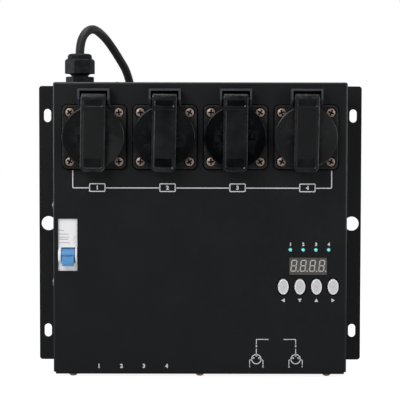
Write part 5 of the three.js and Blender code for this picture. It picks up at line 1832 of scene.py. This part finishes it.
@dataclass
class Underside(SubAssembly):
    """Fuse holders and carriers, control connectors, their latch and the cover screws."""

    middle: float = 38.0
    wall: float = -112.1
    under: float = 3.8

    FUSES = (-78.55, -61.05, -43.55, -26.05)

    def build(self) -> None:
        """Make the underside's pieces."""
        holder = self._holder()
        carrier = self._carrier()
        for i, x in enumerate(self.FUSES, 1):
            self.shop.deliver(holder.moved(x, self.middle, self.wall), f"fuse_bezel_{i}", Surface.FUSE_PLASTIC,
                              "box", [f"fuse_holder_{i}"])
            self.shop.deliver(carrier.moved(x, self.middle, self.wall), f"fuse_cap_{i}", Surface.FUSE_PLASTIC,
                              f"carrier_{i}", [f"fuse_carrier_{i}"])
        male, male_core = self._male()
        female, female_core = self._female()
        sides = {"in": (74.6, male, male_core), "out": (43.8, female, female_core)}
        for name, (x, shell, core) in sides.items():
            self.shop.deliver(shell.moved(x, self.middle, self.wall), f"connector_{name}_shell", Surface.NICKEL,
                              "box", [f"connector_{name}"])
            surface = Surface.CONTACT if name == "in" else Surface.INSERT_PLASTIC
            self.shop.deliver(core.moved(x, self.middle, self.wall), f"connector_{name}_core", surface)
        latch = Stock.block((-4, 4), (-13.5, -10.5), (-3.2, -1.5)).softened(0.4)
        self.shop.deliver(latch.moved(43.8, self.middle, self.wall), "connector_release", Surface.NICKEL, "latch",
                          ["connector_latch"])
        screw = cross_head_screw(3.1, 2.4, 1.5, 7.0)
        places = [Place(x, 7.5, -113.5, (0.0, 0.0, -1.0)) for x in (-99.2, 0.0, 99.2)]
        screws = self.repeater.set_out(screw, places, self.shop.material(Surface.BRONZE), math.pi / 2, 11)
        self.shop.deliver(screws, "cover_screws", Surface.BRONZE, "box",
                          [f"cover_screw_{i}" for i in (1, 2, 3)])
        self._connector_screws()

    def _holder(self) -> Stock:
        """Make one fuse holder with its bezel, body and tag."""
        u = self.under
        body = Stock.turned([
            (4.7, -u), (6.9, -u), (7.4, -u + 0.6), (7.4, 0), (6.2, 0), (6.2, 33.4), (5.6, 34), (4.7, 34),
        ], Axis.Z, hollow=True)
        cap = Stock.bar(5.5, (30.3, 34), Axis.Z, (0, 0), 32)
        tag = Stock.block(about(0, 4), about(0, 0.8), (33.5, 41))
        notches = [
            Stock.bar(0.8, (-u - 1, -u + 1.4), Axis.Z, (7.4 * math.cos(a), 7.4 * math.sin(a)), 12)
            for a in (2 * math.pi * i / 12 for i in range(12))
        ]
        return body.join(cap, tag).cut(*notches).softened(0.2)

    def _carrier(self) -> Stock:
        """Make one fuse carrier with its slotted face."""
        face = 0.5 - self.under
        body = Stock.turned([(0, face), (3.9, face), (4.3, face + 0.4), (4.3, 29.6), (3.9, 30), (0, 30)], Axis.Z)
        slot = Stock.block(about(0, 9), about(0, 1.4), (face - 1, face + 1.2))
        ring = Stock.band(oval(9.2, 9.2), oval(7.6, 7.6), (2.5, 4.0), Axis.Z)
        return body.cut(slot, ring).softened(0.2)

    def _flange(self) -> Stock:
        """Make a connector's flange and shell."""
        flange = Stock.prism(rounded(26, 31, 2), (-2.2, 0), Axis.Z)
        shell = Stock.turned([(0, -1), (11.8, -1), (11.8, 21.4), (11.2, 22), (0, 22)], Axis.Z)
        return flange.join(shell)

    def _male(self) -> tuple[Stock, Stock]:
        """Make the input connector's shell and its three pins."""
        cup = Stock.bar(9.2, (-5, 12.8), Axis.Z, (0, 0), 48)
        key = Stock.block((-1.2, 1.2), (8.6, 10), (-1.0, 12.9))
        shell = self._flange().cut(cup).join(key).softened(0.25)
        pins = []
        for angle in (30, 150, 270):
            a = math.radians(angle)
            pins.append(Stock.turned(
                [(0, 0.8), (0.7, 0.8), (1.2, 1.5), (1.2, 13.1), (0, 13.1)], Axis.Z,
                (4.2 * math.cos(a), 4.2 * math.sin(a)), 20,
            ))
        return shell, Stock.gather(pins).shaded(40)

    def _female(self) -> tuple[Stock, Stock]:
        """Make the output connector's shell and its insert."""
        bore = Stock.bar(9.3, (-5, 8.8), Axis.Z, (0, 0), 48)
        hole = Stock.block((-4.3, 4.3), (-13.8, -10.2), (-7, 5))
        shell = self._flange().cut(bore, hole).softened(0.25)
        insert = Stock.turned([(0, -2.2), (7.2, -2.2), (7.6, -1.8), (7.6, 9.2), (0, 9.2)], Axis.Z)
        holes = []
        for angle in (30, 150, 270):
            a = math.radians(angle)
            holes.append(Stock.bar(1.5, (-4, 7.8), Axis.Z, (4.2 * math.cos(a), 4.2 * math.sin(a)), 20))
        return shell, insert.cut(*holes).softened(0.2)

    def _connector_screws(self) -> None:
        """Set the two screws of each connector."""
        screw = cross_head_screw(2.7, 1.6, 1.3, 3.0)
        places = [
            Place(x + side * 9.5, self.middle + side * 12, self.wall - 2.2, (0.0, 0.0, -1.0))
            for x in (74.6, 43.8)
            for side in (-1, 1)
        ]
        screws = self.repeater.set_out(screw, places, self.shop.material(Surface.ZINC), math.pi / 2, 5)
        self.shop.deliver(screws, "connector_screws", Surface.ZINC)


@dataclass
class CableGland(SubAssembly):
    """The cable gland and the earth screw on the top wall."""

    x: float = -96.2
    y: float = 38.0
    wall: float = 112.1
    half_flats: float = 9.9
    lower_turn: float = 7.5
    upper_turn: float = 15.0

    def build(self) -> None:
        """Make the gland's pieces and the earth screw."""
        parts = (
            (self._seal(), "gland_washer", ["gland_seal"]),
            (self._body(), "gland_base", ["gland_body"]),
            (self._nut(), "gland_cap", ["gland_cap_nut"]),
            (self._locknut(), "gland_back_nut", ["gland_locknut"]),
        )
        for stock, name, nodes in parts:
            self.shop.deliver(stock.moved(self.x, self.y, self.wall), name, Surface.GLAND_PLASTIC, "box", nodes)
        screw = cross_head_screw(2.4, 3.5, 1.6, 9.0)
        places = [Place(-67.0, 48.0, self.wall, (0.0, 0.0, 1.0))]
        earth = self.repeater.set_out(screw, places, self.shop.material(Surface.DARK_STEEL), 0.6, 2)
        self.shop.deliver(earth, "earth_stud", Surface.DARK_STEEL, "box", ["earth_screw"])

    def _seal(self) -> Stock:
        """Make the sealing washer."""
        r = self.half_flats
        return Stock.turned([(8.1, 0), (r - 0.2, 0), (r, 0.25), (r, 0.75), (r - 0.2, 1), (8.1, 1)], Axis.Z,
                            hollow=True).shaded(50)

    def _body(self) -> Stock:
        """Make the gland's body: hexagon, neck and threaded shank."""
        lower = Stock.loft([
            (hexagon(self.half_flats - 0.4, self.lower_turn, 0.8), 1.0),
            (hexagon(self.half_flats, self.lower_turn, 0.5), 1.5),
            (hexagon(self.half_flats, self.lower_turn, 0.5), 6.4),
            (hexagon(self.half_flats - 0.3, self.lower_turn, 0.9), 6.8),
        ], Axis.Z)
        neck = Stock.bar(6.8, (6.5, 17.8), Axis.Z, (0, 0), 40)
        thread = [(0, -10.2)]
        for i in range(6):
            thread += [(7.2, -10.2 + 1.5 * i), (7.8, -9.6 + 1.5 * i), (7.8, -9.3 + 1.5 * i)]
        thread += [(7.2, -1.2), (7.8, 0.4), (7.8, 1.3), (0, 1.3)]
        shank = Stock.turned(thread, Axis.Z, sides=40)
        bore = Stock.bar(3.8, (-15, 30), Axis.Z, (0, 0), 32)
        return lower.join(neck, shank).cut(bore).softened(0.25)

    def _nut(self) -> Stock:
        """Make the cap nut: chamfered hexagon under a rounded crown."""
        flats, turn = self.half_flats + 0.75, self.upper_turn
        nut = Stock.loft([
            (hexagon(flats, turn, 0.6), 9.1),
            (hexagon(flats, turn, 0.6), 19.4),
            (hexagon(flats - 0.35, turn, 1.2), 20.2),
            (hexagon(flats - 1.1, turn, 2.2), 20.9),
        ], Axis.Z)
        crown = Stock.turned([(0, 20), (9.65, 20), *arc(2.5, 0, 90, 7.15, 22.5, 6), (0, 25.0)], Axis.Z, sides=56)
        collar = Stock.bar(7.05, (4, 18.1), Axis.Z, (0, 0), 40)
        skirt = Stock.turned([(0, 7.9), (7.3, 7.9), (8.2, 9.3), (0, 9.3)], Axis.Z)
        mouth = Stock.turned([(0, 8), (4.0, 8), (4.0, 24.2), (4.8, 25.2), (0, 25.2)], Axis.Z, sides=40)
        return nut.join(crown, skirt).cut(collar, mouth).softened(0.3)

    def _locknut(self) -> Stock:
        """Make the lock nut inside the box."""
        nut = Stock.prism(hexagon(self.half_flats, 0, 0.8), (-5.2, -1.2), Axis.Z)
        return nut.cut(Stock.bar(8.1, (-10, 5), Axis.Z, (0, 0), 40)).softened(0.3)


@dataclass
class InnerWorks(SubAssembly):
    """The nodes shut away inside the box, which keep their own shapes."""

    frame: dict

    def build(self) -> None:
        """Dress each node that stays."""
        dresses = {
            Surface.ZINC: ["breaker_bracket"],
            Surface.BOARD_GREEN: ["control_board", "power_board"],
            Surface.CORE_STEEL: ["transformer"],
            Surface.ALUMINIUM: ["heatsink"],
            Surface.TERMINAL: ["terminal_block"],
            Surface.COPPER: [f"choke_{i}" for i in (1, 2, 3, 4)],
            Surface.CORD_RUBBER: ["inner_lead"],
        }
        for surface, names in dresses.items():
            for name in names:
                self.shop.dress(self.frame["nodes"][name], surface)


def corners() -> list[list[float]]:
    """Give the whole object's box as plain lists of numbers, in metres."""
    return [[float(v) for v in corner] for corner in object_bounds()]


def main() -> None:
    """Build the pack's sub-assemblies in order."""
    logging.basicConfig(level=logging.INFO, format="%(message)s")
    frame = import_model()
    Studio().build()
    shop = Workshop()
    repeater = Repeater()
    MainsLead(shop, repeater).build()
    Enclosure(shop, repeater).build()
    SocketRow(shop, repeater).build()
    Breaker(shop, repeater).build()
    ControlArea(shop, repeater).build()
    Silkscreen(shop, repeater).build()
    Underside(shop, repeater).build()
    CableGland(shop, repeater).build()
    InnerWorks(shop, repeater, frame).build()
    LOG.info("%d pieces in place", shop.count)


if __name__ == "__main__":
    main()
